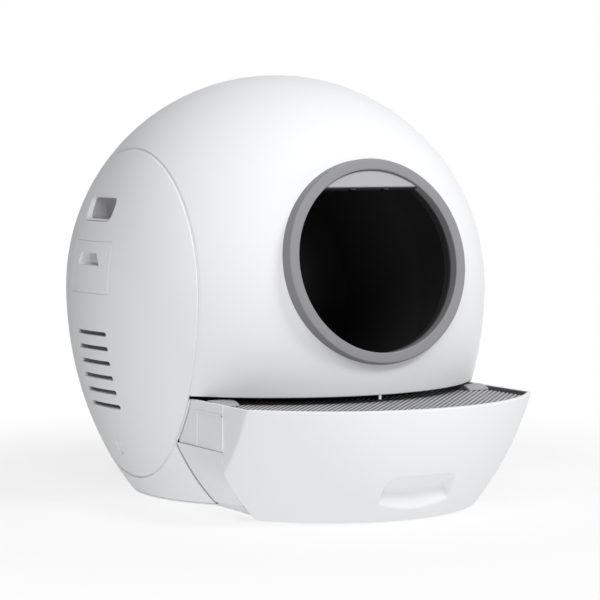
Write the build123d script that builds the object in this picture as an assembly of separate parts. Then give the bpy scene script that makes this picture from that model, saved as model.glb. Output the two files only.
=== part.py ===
from build123d import *
import os
from math import acos, asin, cos, degrees, pi, radians, sin, sqrt, tan

# Sizes are millimetres and degrees. The globe's upright axis is Z and its entry faces -Y.
# Every node is moved by FRAME_SHIFT_Y when it is written, so the whole is centred on the floor.

# Globe
GLOBE_RADIUS = 280.0
GLOBE_SCALE = GLOBE_RADIUS / 280.0
GLOBE_LOWER_HALF = 373.0 * GLOBE_SCALE
BASE_Z = 3.0
GLOBE_CENTRE_Z = BASE_Z + 270.6 * GLOBE_SCALE
SHELL_WALL = 4.0
SEAM_GAP = 1.2
SEAM_DEPTH = 2.0
SIDE_SEAM_X = 212.0 * GLOBE_SCALE
REAR_SEAM_Y = 140.0 * GLOBE_SCALE
SLIT_Y = -118.0 * GLOBE_SCALE
SLIT_WIDTH = 1.6
FRONT_EDGE_Z = BASE_Z + 146.3 * GLOBE_SCALE
SHELL_FOOT = 2.0
TICK_WIDTH = 3.0
TICK_DROP = 5.0
FAR = 700.0
GLOBE_BANDS = 12

# Entry ring and visor, measured along the drum axis from the globe's centre
DRUM_TILT = 9.45
RING_FACE = 264.6 * GLOBE_SCALE
RING_RADIUS = 128.4 * GLOBE_SCALE
RING_BORE = 114.4 * GLOBE_SCALE
RING_NECK = 121.6 * GLOBE_SCALE
RING_BACK = 241.0 * GLOBE_SCALE
RING_EDGE = 1.6
HOLE_CLEARANCE = 0.4
VISOR_CHORD = 91.5 * GLOBE_SCALE
VISOR_EDGE = 262.0 * GLOBE_SCALE
VISOR_TOP_SET_BACK = 1.5 * GLOBE_SCALE
VISOR_BACK = 244.0 * GLOBE_SCALE
LENS_RADIUS = 5.0
LENS_HEIGHT = 1.5
LENS_X = 24.0 * GLOBE_SCALE
SEAL_RADIUS = 121.0 * GLOBE_SCALE
SEAL_BORE = 114.6 * GLOBE_SCALE
SEAL_LENGTH = 3.2

# Drawer and step
DRAWER_SHIFT = 134.5 * GLOBE_SCALE
DRAWER_HALF = 207.9 * GLOBE_SCALE
DRAWER_RIM_Z = BASE_Z + 142.6 * GLOBE_SCALE
DRAWER_TRAVEL = 300.0 * GLOBE_SCALE
FASCIA_REAR_Y = -236.0 * GLOBE_SCALE
FASCIA_WALL = 4.0
FASCIA_FLOOR_Z = 10.4
TRAY_Z = 14.2
TRAY_THICK = 3.0
TRAY_HALF = 128.0 * GLOBE_SCALE
TRAY_LIP = 12.0
TRAY_REAR_Y = 52.0 * GLOBE_SCALE
BIN_HALF = 124.0 * GLOBE_SCALE
BIN_REAR_Y = 47.0 * GLOBE_SCALE
BIN_FRONT_Y = -280.0 * GLOBE_SCALE
BIN_TOP_Z = 73.0 * GLOBE_SCALE
BIN_WALL = 2.5
BIN_RIM = 2.0
FRAME_REAR_Y = -100.0 * GLOBE_SCALE
FRAME_BAND_REAR_Y = -144.0 * GLOBE_SCALE
FRAME_TAIL_LIFT = 4.0
FRAME_WALL_GAP = 0.6
FRAME_BAND = 11.5
FRAME_BAND_PROUD = 0.8
FRAME_RIDGE_Y = -168.0 * GLOBE_SCALE
FRAME_RIDGE_WIDTH = 2.4
STEP_THICK = 3.0
STEP_REAR_RADIUS = 212.0 * GLOBE_SCALE
MAT_TOP_Z = DRAWER_RIM_Z - 5.0
MAT_THICK = 3.8
MAT_REAR_Y = -132.0 * GLOBE_SCALE
MAT_REAR_RADIUS = 215.0 * GLOBE_SCALE
MAT_EDGE_GAP = 0.5
CLIP_X0 = DRAWER_HALF - 33.9
CLIP_X1 = DRAWER_HALF - 4.9
CLIP_Y0 = -211.0 * GLOBE_SCALE
CLIP_Y1 = -160.0 * GLOBE_SCALE
CLIP_LOW = 1.6
CLIP_HIGH = 7.0
SCOOP_WIDTH = 105.0 * GLOBE_SCALE
SCOOP_HEIGHT = 40.0 * GLOBE_SCALE
SCOOP_CORNER = 12.0 * GLOBE_SCALE
SCOOP_Z = BASE_Z + 38.0 * GLOBE_SCALE
SCOOP_RADIUS = 26.4 * GLOBE_SCALE
SCOOP_DEPTH = 14.0 * GLOBE_SCALE
SCOOP_WALL = 3.0
RUNNER_X = 102.0 * GLOBE_SCALE
RUNNER_WIDTH = 12.0
RUNNER_GAP = 0.2

# Base
BASE_PLATE = 8.0
BASE_PLATE_TOP = BASE_Z + BASE_PLATE
FRONT_FLOOR_HALF = DRAWER_HALF - 55.9 * GLOBE_SCALE
FRONT_FLOOR_Y = -230.0 * GLOBE_SCALE
LEDGE_TOP_Z = BASE_Z + 85.0 * GLOBE_SCALE
LEDGE_FRONT_Y = -235.0 * GLOBE_SCALE
LEDGE_INNER_X = DRAWER_HALF - 59.9 * GLOBE_SCALE
LEDGE_WALL = 4.0
LEDGE_CORE_Z = 16.0
LEDGE_LIFT_REAR = 5.0
LEDGE_LIFT_FRONT = 18.0
FOOT_RADIUS = 11.0
FOOT_X = 120.0 * GLOBE_SCALE
FOOT_FRONT_Y = -205.0 * GLOBE_SCALE
FOOT_REAR_Y = 125.0 * GLOBE_SCALE
CELL_RADIUS = 13.0
CELL_HEIGHT = 5.0

# Litter drum, drum frame: X right, Y up, Z forward along the axis
DRUM_RADIUS = 182.0 * GLOBE_SCALE
DRUM_WALL = 3.0
DRUM_MOUTH = 236.0 * GLOBE_SCALE
DRUM_MOUTH_RADIUS = 122.5 * GLOBE_SCALE
DRUM_NOSE_START = 85.0 * GLOBE_SCALE
DRUM_NOSE_MID_RADIUS = DRUM_RADIUS - 19.0 * GLOBE_SCALE
DRUM_NOSE_MID = 163.0 * GLOBE_SCALE
DRUM_TAIL_START = -112.0 * GLOBE_SCALE
DRUM_BACK = -178.0 * GLOBE_SCALE
DRUM_BACK_RADIUS = DRUM_RADIUS - 74.0 * GLOBE_SCALE
DRUM_TAIL_MID_RADIUS = DRUM_RADIUS - 24.0 * GLOBE_SCALE
DRUM_TAIL_MID = -157.0 * GLOBE_SCALE
FLANGE_RADIUS = DRUM_RADIUS + 7.0
FLANGE_THICK = 4.0
PORT_HALF = 65.0 * GLOBE_SCALE
PORT_REAR = -72.0 * GLOBE_SCALE
PORT_FRONT = -9.0 * GLOBE_SCALE
SIEVE_Y = 130.0 * GLOBE_SCALE
SIEVE_THICK = 2.5
SIEVE_REAR = -140.0 * GLOBE_SCALE
SIEVE_FRONT = 20.0 * GLOBE_SCALE
SIEVE_SLOT = 7.0 * GLOBE_SCALE
SIEVE_PITCH = 14.0 * GLOBE_SCALE
SIEVE_SLOT_LENGTH = 60.0 * GLOBE_SCALE
DRUM_SCREW_COUNT = 12
DRUM_SCREW_RADIUS = 1.6
DRUM_SCREW_HEAD = 1.55
HUB_RADIUS = 16.0
HUB_LENGTH = 18.0
BUSH_RADIUS = 11.0
BUSH_BORE = 8.06
BUSH_LENGTH = 14.0
STUB_RADIUS = 8.0
POST_Y0 = 182.0 * GLOBE_SCALE
POST_Y1 = 190.0 * GLOBE_SCALE
POST_HALF = 18.0

# Drum drive and rollers
GEAR_TEETH = 128
GEAR_STAND_OFF = 10.0
GEAR_MODULE = 2 * (DRUM_RADIUS + GEAR_STAND_OFF) / GEAR_TEETH
PINION_TEETH = 18
GEAR_FRONT = -94.0 * GLOBE_SCALE
GEAR_WIDTH = 12.0
GEAR_BACKLASH = 0.5
GEAR_SHOULDER = DRUM_RADIUS + 5.0
PRESSURE_ANGLE = 20.0
MOTOR_ANGLE = -20.0
MOTOR_RADIUS = 18.0 * GLOBE_SCALE
MOTOR_LENGTH = 52.0 * GLOBE_SCALE
GEARBOX_RADIUS = 21.0 * GLOBE_SCALE
GEARBOX_LENGTH = 22.0 * GLOBE_SCALE
SHAFT_RADIUS = 4.0
SHAFT_CLEARANCE = 0.06
BRACKET_THICK = 4.0
BRACKET_FOOT = 26.0
BRACKET_KNEE = 240.0 * GLOBE_SCALE
BRACKET_NECK = 130.0 * GLOBE_SCALE
BRACKET_FRONT = -88.0 * GLOBE_SCALE
ROLLER_RADIUS = 15.0 * GLOBE_SCALE
ROLLER_WIDTH = 14.0
ROLLER_GAP = 0.3
ROLLER_ANGLE = 52.0
ROLLER_STATION = 60.0 * GLOBE_SCALE
PIN_RADIUS = 4.0
PIN_CLEARANCE = 0.05
PIN_HEAD = 6.5
PIN_HEAD_LENGTH = 2.0
LEG_THICK = 8.0
LEG_GAP = 1.0
LEG_INSET = 21.5
LEG_FOOT = 18.0
LEG_CHEEK = 22.5
LEG_BOTTOM = 330.0 * GLOBE_SCALE
SCREW_RADIUS = 1.6
SCREW_HEAD_RADIUS = 3.0
SCREW_HEAD_HEIGHT = 2.0
SCREW_REACH = 8.0

# Side covers
GRIP_Y = 2.0 * GLOBE_SCALE
GRIP_Z = BASE_Z + 376.5 * GLOBE_SCALE
GRIP_WIDTH = 72.0 * GLOBE_SCALE
GRIP_HEIGHT = 27.0 * GLOBE_SCALE
GRIP_CORNER = 8.0 * GLOBE_SCALE
GRIP_FLOOR_X = 234.0 * GLOBE_SCALE
GRIP_WALL = 2.5
LID_Y0 = -54.0 * GLOBE_SCALE
LID_Y1 = 49.5 * GLOBE_SCALE
LID_Z0 = BASE_Z + 269.0 * GLOBE_SCALE
LID_Z1 = BASE_Z + 335.0 * GLOBE_SCALE
LID_GAP = 0.7
LID_CORNER = 3.0
LID_TRAVEL = 60.0 * GLOBE_SCALE
POCKET_TOP_Z = BASE_Z + 320.0 * GLOBE_SCALE
POCKET_BOTTOM_Z = BASE_Z + 304.5 * GLOBE_SCALE
POCKET_TOP_HALF = 21.5 * GLOBE_SCALE
POCKET_BOTTOM_HALF = 31.0 * GLOBE_SCALE
POCKET_FLOOR_X = 267.0 * GLOBE_SCALE
POCKET_WALL = 2.0
TONGUE_Y0 = -17.0 * GLOBE_SCALE
TONGUE_Y1 = 8.0 * GLOBE_SCALE
TONGUE_Z0 = BASE_Z + 307.5 * GLOBE_SCALE
TONGUE_Z1 = BASE_Z + 319.0 * GLOBE_SCALE
TONGUE_THICK = 2.4
TONGUE_TRAVEL = 2.4
VENT_COUNT = 6
VENT_TOP_Z = BASE_Z + 217.5 * GLOBE_SCALE
VENT_PITCH = 18.8 * GLOBE_SCALE
VENT_Y0 = -45.0 * GLOBE_SCALE
VENT_Y1 = 37.0 * GLOBE_SCALE
VENT_HEIGHT = 5.6
SOCKET_Y = -2.0 * GLOBE_SCALE
SOCKET_Z = BASE_Z + 66.0 * GLOBE_SCALE
SOCKET_WIDTH = 12.0
SOCKET_HEIGHT = 18.0
SOCKET_DEPTH = 20.0
SOCKET_BORE = 2.9
SOCKET_PIN = 1.0

# Scent compartment, fan and control board
SCENT_BACK_X = 236.0 * GLOBE_SCALE
SCENT_WALL = 2.5
CARTRIDGE_LENGTH = 18.0 * GLOBE_SCALE
CARTRIDGE_GAP = 1.0
FAN_Y = -4.0 * GLOBE_SCALE
FAN_Z = BASE_Z + 170.5 * GLOBE_SCALE
FAN_SHROUD_WIDTH = 92.0 * GLOBE_SCALE
FAN_SHROUD_HEIGHT = 106.0 * GLOBE_SCALE
FAN_WALL = 3.0
FAN_BACK_X = 222.0 * GLOBE_SCALE
FAN_BORE = 38.0 * GLOBE_SCALE
FAN_HUB = 12.0 * GLOBE_SCALE
FAN_BLADE_TIP = 36.5 * GLOBE_SCALE
FAN_BLADES = 7
FAN_DEPTH = 14.0 * GLOBE_SCALE
FAN_PIN = 2.5
BOARD_Y0 = 100.0 * GLOBE_SCALE
BOARD_Y1 = 160.0 * GLOBE_SCALE
BOARD_HALF = 45.0 * GLOBE_SCALE
BOARD_THICK = 1.6
BOARD_POST = 6.0


def globe_radius_at(height, inset=0.0):
    """Radius of the globe at a height above the floor."""
    rise = height - GLOBE_CENTRE_Z
    half = GLOBE_RADIUS if rise > 0 else GLOBE_LOWER_HALF
    return (GLOBE_RADIUS - inset) * sqrt(1 - (rise / (half - inset)) ** 2)


DRAWER_FRONT_Y = -DRAWER_SHIFT - globe_radius_at(DRAWER_RIM_Z)
FRAME_SHIFT_Y = -(DRAWER_FRONT_Y + GLOBE_RADIUS) / 2
DRUM_PLANE = Plane(
    origin=(0, 0, GLOBE_CENTRE_Z),
    x_dir=(1, 0, 0),
    z_dir=(0, -cos(radians(DRUM_TILT)), sin(radians(DRUM_TILT))),
)
DRUM = DRUM_PLANE.location
GEAR_PITCH_RADIUS = GEAR_MODULE * GEAR_TEETH / 2
PINION_PITCH_RADIUS = GEAR_MODULE * PINION_TEETH / 2
DRIVE_DISTANCE = GEAR_PITCH_RADIUS + PINION_PITCH_RADIUS
MOTOR_X = DRIVE_DISTANCE * cos(radians(MOTOR_ANGLE))
MOTOR_Y = DRIVE_DISTANCE * sin(radians(MOTOR_ANGLE))
ROLLER_REACH = DRUM_RADIUS + ROLLER_GAP + ROLLER_RADIUS
ROLLER_X = ROLLER_REACH * sin(radians(ROLLER_ANGLE))
ROLLER_Y = -ROLLER_REACH * cos(radians(ROLLER_ANGLE))
LEG_INNER_X = ROLLER_X - LEG_INSET
LEG_OUTER_X = LEG_INNER_X + LEG_FOOT
LEG_TOP_X = ROLLER_X + LEG_CHEEK


def block(x0, x1, y0, y1, z0, z1):
    """Box between two opposite corners."""
    centre = Pos((x0 + x1) / 2, (y0 + y1) / 2, (z0 + z1) / 2)
    return centre * Box(abs(x1 - x0), abs(y1 - y0), abs(z1 - z0))


def both_sides(shape):
    """A shape with its mirror image across the middle plane."""
    return [shape, mirror(shape, about=Plane.YZ)]


def globe_solid(inset=0.0):
    """Full globe shrunk by an inset: a half ball above stacked cone bands, cut at the base height."""
    radius = GLOBE_RADIUS - inset
    lower = GLOBE_LOWER_HALF - inset
    low_angle = asin((GLOBE_CENTRE_Z - BASE_Z) / lower)
    points = []
    for index in range(GLOBE_BANDS + 1):
        angle = low_angle * (index / GLOBE_BANDS - 1)
        points.append((radius * cos(angle), GLOBE_CENTRE_Z + lower * sin(angle)))
    side = Polyline(*points)
    crown = CenterArc((0, GLOBE_CENTRE_Z), radius, 0, 90)
    axis = Line(crown @ 1, (0, BASE_Z))
    floor = Line((0, BASE_Z), points[0])
    profile = make_face(Plane.YZ * Curve([*side.edges(), crown, axis, floor]))
    return revolve(profile, Axis.Z)


def turned(points):
    """Solid of revolution about Z from (radius, height) corners."""
    return revolve(make_face(Plane.XZ * Polyline(*points, close=True)), Axis.Z)


def disc(radius, z0, z1, x=0.0, y=0.0):
    """Upright cylinder between two heights."""
    return Pos(x, y, (z0 + z1) / 2) * Cylinder(radius, z1 - z0)


def side_prism(sketch, x0, x1, y, z):
    """Sketch drawn as seen from the side, run from x0 to x1."""
    place = Plane(origin=(min(x0, x1), y, z), x_dir=(0, 1, 0), z_dir=(1, 0, 0))
    return extrude(place * sketch, abs(x1 - x0))


OUTER = globe_solid()
MIDDLE = globe_solid(SEAM_DEPTH)
INNER = globe_solid(SHELL_WALL)
OUTER_SKIN = OUTER - MIDDLE
INNER_SKIN = MIDDLE - INNER


def shell_piece(x0, x1, y0, y1):
    """Part of the shell wall whose outer skin stops short of the seam at each bound."""
    gap = SEAM_GAP / 2
    z0 = BASE_Z + SHELL_FOOT
    skin = OUTER_SKIN & block(x0 + gap, x1 - gap, y0 + gap, y1 - gap, z0, FAR)
    lining = INNER_SKIN & block(x0, x1, y0, y1, z0, FAR)
    return skin + lining


def globe_shell():
    """Main shell with the entry hole, the front cut-out and its locating tick."""
    shell = shell_piece(-SIDE_SEAM_X, SIDE_SEAM_X, -FAR, REAR_SEAM_Y)
    shell -= block(-FAR, FAR, -FAR, FAR, 0, FRONT_EDGE_Z)
    shell -= DRUM * disc(RING_NECK + HOLE_CLEARANCE, RING_BACK - 60, RING_FACE + 60)
    edge = -globe_radius_at(FRONT_EDGE_Z)
    tick = block(-TICK_WIDTH / 2, TICK_WIDTH / 2, edge + 0.6, edge + SHELL_WALL - 0.4,
                 FRONT_EDGE_Z - TICK_DROP, FRONT_EDGE_Z + 2)
    return shell + tick


def rear_shell():
    """Shell behind the drum, with the skirt that runs forward under the side covers."""
    skirt = shell_piece(-SIDE_SEAM_X, SIDE_SEAM_X, SLIT_Y - SEAM_GAP / 2, FAR)
    skirt &= block(-FAR, FAR, SLIT_Y, FAR, 0, FRONT_EDGE_Z)
    return skirt + shell_piece(-SIDE_SEAM_X, SIDE_SEAM_X, REAR_SEAM_Y, FAR)


def vent_slots(x0, x1):
    """Cutters for the level vent slots."""
    length = VENT_Y1 - VENT_Y0
    middle = (VENT_Y0 + VENT_Y1) / 2
    slots = []
    for index in range(VENT_COUNT):
        height = VENT_TOP_Z - index * VENT_PITCH
        slots.append(side_prism(SlotOverall(length, VENT_HEIGHT), x0, x1, middle, height))
    return slots


def grip_sketch(margin=0.0):
    """Outline of the carrying pocket."""
    return RectangleRounded(GRIP_WIDTH + 2 * margin, GRIP_HEIGHT + 2 * margin, GRIP_CORNER + margin)


def lid_sketch(margin=0.0):
    """Outline of the access lid."""
    width = LID_Y1 - LID_Y0 + 2 * margin
    height = LID_Z1 - LID_Z0 + 2 * margin
    return RectangleRounded(width, height, LID_CORNER + margin)


LID_Y = (LID_Y0 + LID_Y1) / 2
LID_Z = (LID_Z0 + LID_Z1) / 2


def left_side_cover():
    """Left cap with the grip, lid, vent and socket openings."""
    cover = shell_piece(-FAR, -SIDE_SEAM_X, -FAR, FAR)
    cover -= side_prism(grip_sketch(GRIP_WALL + 0.1), -FAR, -SIDE_SEAM_X, GRIP_Y, GRIP_Z)
    cover -= side_prism(lid_sketch(LID_GAP), -FAR, -SIDE_SEAM_X, LID_Y, LID_Z)
    cover -= side_prism(SlotOverall(SOCKET_HEIGHT + 0.2, SOCKET_WIDTH + 0.2, rotation=90),
                        -FAR, -SIDE_SEAM_X, SOCKET_Y, SOCKET_Z)
    cover -= vent_slots(-FAR, -SIDE_SEAM_X)
    return cover


def right_side_cover():
    """Right cap with the grip and vent openings."""
    cover = shell_piece(SIDE_SEAM_X, FAR, -FAR, FAR)
    cover -= side_prism(grip_sketch(GRIP_WALL + 0.1), SIDE_SEAM_X, FAR, GRIP_Y, GRIP_Z)
    cover -= vent_slots(SIDE_SEAM_X, FAR)
    return cover


def left_grip_cup():
    """Lining of the left carrying pocket, with a flange behind the cover."""
    cup = side_prism(grip_sketch(GRIP_WALL), -FAR, -GRIP_FLOOR_X, GRIP_Y, GRIP_Z)
    cup -= side_prism(grip_sketch(), -FAR, -GRIP_FLOOR_X - GRIP_WALL, GRIP_Y, GRIP_Z)
    flange = side_prism(grip_sketch(GRIP_WALL + 4), -FAR, -GRIP_FLOOR_X - 2, GRIP_Y, GRIP_Z)
    flange -= side_prism(grip_sketch(GRIP_WALL - 0.5), -FAR, FAR, GRIP_Y, GRIP_Z)
    flange &= INNER - globe_solid(SHELL_WALL + 2)
    return (cup & globe_solid(0.4)) + flange


def right_grip_cup():
    """Lining of the right carrying pocket."""
    return mirror(left_grip_cup(), about=Plane.YZ)


def pocket_sketch(margin=0.0):
    """Outline of the latch pocket, narrower at the top."""
    top = POCKET_TOP_Z + margin
    bottom = POCKET_BOTTOM_Z - margin
    corners = [(-POCKET_BOTTOM_HALF - margin, bottom), (POCKET_BOTTOM_HALF + margin, bottom),
               (POCKET_TOP_HALF + margin, top), (-POCKET_TOP_HALF - margin, top)]
    return make_face(Polyline(*corners, close=True))


def access_lid():
    """Flush lid with the latch pocket sunk into it."""
    lid = (OUTER - INNER) & side_prism(lid_sketch(), -FAR, 0, LID_Y, LID_Z)
    pocket = side_prism(pocket_sketch(), -FAR, -POCKET_FLOOR_X, 0, 0)
    cup = side_prism(pocket_sketch(POCKET_WALL), -FAR, -POCKET_FLOOR_X + POCKET_WALL, 0, 0)
    guide = block(-POCKET_FLOOR_X - 1.6, -POCKET_FLOOR_X + 0.5, TONGUE_Y0 + 8, TONGUE_Y1 - 8,
                  TONGUE_Z1 + 0.2, POCKET_TOP_Z + 0.5)
    return (lid + (cup & globe_solid(1.0))) - pocket + guide


def lid_latch():
    """Sprung tongue that rests on the pocket's floor."""
    back = -POCKET_FLOOR_X
    tongue = block(back - TONGUE_THICK, back, TONGUE_Y0, TONGUE_Y1, TONGUE_Z0, TONGUE_Z1)
    grip = block(back - TONGUE_THICK - 1.8, back - TONGUE_THICK, TONGUE_Y0 + 2, TONGUE_Y1 - 2,
                 TONGUE_Z0 + 1.4, TONGUE_Z0 + 4.0)
    return tongue + grip


def scent_box():
    """Compartment behind the lid, open towards it."""
    outer = side_prism(lid_sketch(SCENT_WALL + 2), -FAR, -SCENT_BACK_X, LID_Y, LID_Z)
    hollow = side_prism(lid_sketch(2), -FAR, -SCENT_BACK_X - SCENT_WALL, LID_Y, LID_Z)
    return (outer & INNER) - hollow


def scent_cartridge():
    """Deodoriser block on the compartment's floor, with four grooves across its face."""
    back = -SCENT_BACK_X - SCENT_WALL
    front = back - CARTRIDGE_LENGTH
    body = side_prism(lid_sketch(2 - CARTRIDGE_GAP), back, front, LID_Y, LID_Z)
    pitch = (LID_Z1 - LID_Z0) / 5
    for index in range(4):
        height = LID_Z0 + pitch * (index + 1)
        body -= block(front - 1, front + 4, LID_Y0 + 8, LID_Y1 - 8, height - 2, height + 2)
    return body


def power_socket():
    """Low-voltage inlet with a centre pin, seated behind the cover."""
    outline = SlotOverall(SOCKET_HEIGHT, SOCKET_WIDTH, rotation=90)
    back = SOCKET_DEPTH - globe_radius_at(SOCKET_Z)
    body = side_prism(outline, -GLOBE_RADIUS, back, SOCKET_Y, SOCKET_Z) & MIDDLE
    rim = SlotOverall(SOCKET_HEIGHT + 6, SOCKET_WIDTH + 6, rotation=90)
    flange = side_prism(rim, -GLOBE_RADIUS, back - 4, SOCKET_Y, SOCKET_Z) & INNER
    bore_floor = back - 5
    body = body + flange - side_prism(Circle(SOCKET_BORE), -GLOBE_RADIUS, bore_floor, SOCKET_Y, SOCKET_Z)
    return body + side_prism(Circle(SOCKET_PIN), bore_floor + 1, bore_floor - 9, SOCKET_Y, SOCKET_Z)


def fan_shroud():
    """Duct from the vents to the fan, with a spider that carries the fan's pin."""
    outline = Rectangle(FAN_SHROUD_WIDTH, FAN_SHROUD_HEIGHT)
    duct = side_prism(outline, -FAR, -FAN_BACK_X, FAN_Y, FAN_Z) & INNER
    hollow = Rectangle(FAN_SHROUD_WIDTH - 2 * FAN_WALL, FAN_SHROUD_HEIGHT - 2 * FAN_WALL)
    back = -FAN_BACK_X - FAN_WALL
    duct -= side_prism(hollow, -FAR, back, FAN_Y, FAN_Z)
    duct -= side_prism(Circle(FAN_BORE), -FAR, 0, FAN_Y, FAN_Z)
    spider = side_prism(Circle(FAN_HUB), back, -FAN_BACK_X, FAN_Y, FAN_Z)
    for index in range(3):
        arm = Pos(0, (FAN_BORE + 2) / 2) * Rectangle(5, FAN_BORE + 2)
        spider += side_prism(Rot(0, 0, 120 * index) * arm, back, -FAN_BACK_X, FAN_Y, FAN_Z)
    pin = side_prism(Circle(FAN_PIN), back - FAN_DEPTH - 1, back + 1, FAN_Y, FAN_Z)
    return duct + spider + pin


def fan_impeller():
    """Hub with pitched blades on the shroud's pin."""
    back = -FAN_BACK_X - FAN_WALL - 0.6
    front = back - FAN_DEPTH
    hub = side_prism(Circle(FAN_HUB), front, back, FAN_Y, FAN_Z)
    middle = Pos((front + back) / 2, FAN_Y, FAN_Z)
    length = FAN_BLADE_TIP - FAN_HUB + 2
    blade = Pos(0, 0, FAN_HUB - 2 + length / 2) * Rot(0, 0, 35) * Box(FAN_DEPTH, 1.6, length)
    for index in range(FAN_BLADES):
        hub += middle * Rot(360 / FAN_BLADES * index, 0, 0) * blade
    hub &= side_prism(Circle(FAN_BLADE_TIP), front, back, FAN_Y, FAN_Z)
    return hub - side_prism(Circle(FAN_PIN + PIN_CLEARANCE), front - 1, back + 1, FAN_Y, FAN_Z)


def entry_ring():
    """Grey ring seated on the globe, with a neck through the shell."""
    ring = turned([(RING_BORE, RING_BACK), (RING_RADIUS, RING_BACK),
                   (RING_RADIUS, RING_FACE - RING_EDGE), (RING_RADIUS - RING_EDGE, RING_FACE),
                   (RING_BORE + RING_EDGE, RING_FACE), (RING_BORE, RING_FACE - RING_EDGE)])
    outside = OUTER - DRUM * disc(RING_NECK, 0, RING_FACE + 60)
    return DRUM * ring - outside


def entry_visor():
    """Segment across the top of the ring, its face leaning back."""
    body = disc(RING_BORE - 0.2, VISOR_BACK, VISOR_EDGE)
    body &= block(-FAR, FAR, VISOR_CHORD, FAR, 0, FAR)
    top = RING_BORE
    lean = [(VISOR_CHORD, VISOR_EDGE), (top + 1, VISOR_EDGE - VISOR_TOP_SET_BACK),
            (top + 1, VISOR_EDGE + 10), (VISOR_CHORD, VISOR_EDGE + 10)]
    wedge = extrude(Plane.YZ * make_face(Polyline(*lean, close=True)), FAR, both=True)
    return DRUM * (body - wedge)


def sensor_lenses():
    """Two presence sensor windows under the visor."""
    middle = (VISOR_BACK + VISOR_EDGE) / 2
    lenses = []
    for side in (-1, 1):
        place = Plane(origin=(side * LENS_X, VISOR_CHORD, middle), z_dir=(0, -1, 0))
        lenses.append(DRUM * extrude(place * Circle(LENS_RADIUS), LENS_HEIGHT))
    return lenses


def mouth_seal():
    """Soft ring on the back of the entry ring, just ahead of the drum."""
    seal = turned([(SEAL_BORE, RING_BACK - SEAL_LENGTH), (SEAL_RADIUS, RING_BACK - SEAL_LENGTH),
                   (SEAL_RADIUS, RING_BACK), (SEAL_BORE, RING_BACK)])
    return DRUM * seal


def ledge_section(y, shift, wall, top, bottom, limit):
    """Cross-section of a ledge at one depth; shift moves the globe curve that bounds it."""
    points = []
    steps = 6
    for index in range(steps):
        height = top + (bottom - top) * index / (steps - 1)
        reach = sqrt(globe_radius_at(max(height, BASE_Z)) ** 2 - (y + shift) ** 2)
        points.append((min(reach, limit) - wall, y, height))
    outer = Spline(*points)
    inner_x = LEDGE_INNER_X + wall
    rest = Polyline(outer @ 1, (inner_x, y, bottom), (inner_x, y, top), outer @ 0)
    return make_face([outer, *rest.edges()])


def ledge():
    """Hollow ledge on the right; its underside rises towards the front."""
    rear_y = SLIT_Y - SLIT_WIDTH
    rear_limit = SIDE_SEAM_X - SEAM_GAP / 2
    sections = [ledge_section(rear_y, 0, 0, LEDGE_TOP_Z, BASE_Z, rear_limit),
                ledge_section(LEDGE_FRONT_Y, DRAWER_SHIFT, 0, LEDGE_TOP_Z, BASE_Z, DRAWER_HALF)]
    core_top = LEDGE_TOP_Z - LEDGE_WALL
    front_y = LEDGE_FRONT_Y + LEDGE_WALL
    cores = [ledge_section(rear_y - LEDGE_WALL, 0, LEDGE_WALL, core_top, LEDGE_CORE_Z, rear_limit),
             ledge_section(front_y, DRAWER_SHIFT, LEDGE_WALL, core_top, LEDGE_CORE_Z, DRAWER_HALF)]
    body = loft(sections) - loft(cores)
    rise = [(SLIT_Y, 0), (SLIT_Y, BASE_Z + LEDGE_LIFT_REAR),
            (FASCIA_REAR_Y, BASE_Z + LEDGE_LIFT_FRONT), (FASCIA_REAR_Y, 0)]
    wedge = extrude(Plane.YZ * make_face(Polyline(*rise, close=True)), FAR)
    return body - wedge


def leg_feet():
    """Middle of each roller leg's foot on the base plate."""
    feet = []
    for station in (-ROLLER_STATION, ROLLER_STATION):
        along = leg_middle(station)
        drop = (BASE_PLATE_TOP - GLOBE_CENTRE_Z - along * sin(radians(DRUM_TILT))) / cos(radians(DRUM_TILT))
        y = -along * cos(radians(DRUM_TILT)) + drop * sin(radians(DRUM_TILT))
        for side in (-1, 1):
            feet.append((side * (LEG_INNER_X + LEG_OUTER_X) / 2, y))
    return feet


def foot_points():
    """Middle of each foot."""
    return [(side * FOOT_X, y) for y in (FOOT_FRONT_Y, FOOT_REAR_Y) for side in (-1, 1)]


def base_tray():
    """Floor plate with the front floor, both ledges and the board's posts."""
    rear_half = block(-FAR, FAR, SLIT_Y, FAR, BASE_Z, BASE_Z + SHELL_FOOT)
    plate = OUTER & rear_half
    plate += globe_solid(SHELL_WALL + 0.3) & block(-FAR, FAR, SLIT_Y, FAR, BASE_Z, BASE_PLATE_TOP)
    plate += block(-FRONT_FLOOR_HALF, FRONT_FLOOR_HALF, FRONT_FLOOR_Y, SLIT_Y, BASE_Z, BASE_PLATE_TOP)
    for side in both_sides(ledge()):
        plate += side
    for x, y in board_posts():
        plate += disc(BOARD_POST / 2, BASE_PLATE_TOP - 1, BASE_PLATE_TOP + BOARD_POST, x, y)
    for x, y in foot_points():
        plate -= disc(CELL_RADIUS + 0.3, 0, BASE_Z + CELL_HEIGHT, x, y)
    for x, y in leg_feet():
        plate -= disc(SCREW_RADIUS + 0.2, 0, FAR, x, y) & block(-FAR, FAR, -FAR, FAR, 0, 20)
        plate -= disc(SCREW_HEAD_RADIUS + 0.2, 0, BASE_Z + SCREW_HEAD_HEIGHT + 0.4, x, y)
    return plate


def load_cells():
    """Weighing discs in the pockets under the base."""
    return [disc(CELL_RADIUS, BASE_Z, BASE_Z + CELL_HEIGHT, x, y) for x, y in foot_points()]


def rubber_feet():
    """Feet under the weighing discs."""
    return [disc(FOOT_RADIUS, 0, BASE_Z, x, y) for x, y in foot_points()]


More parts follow.
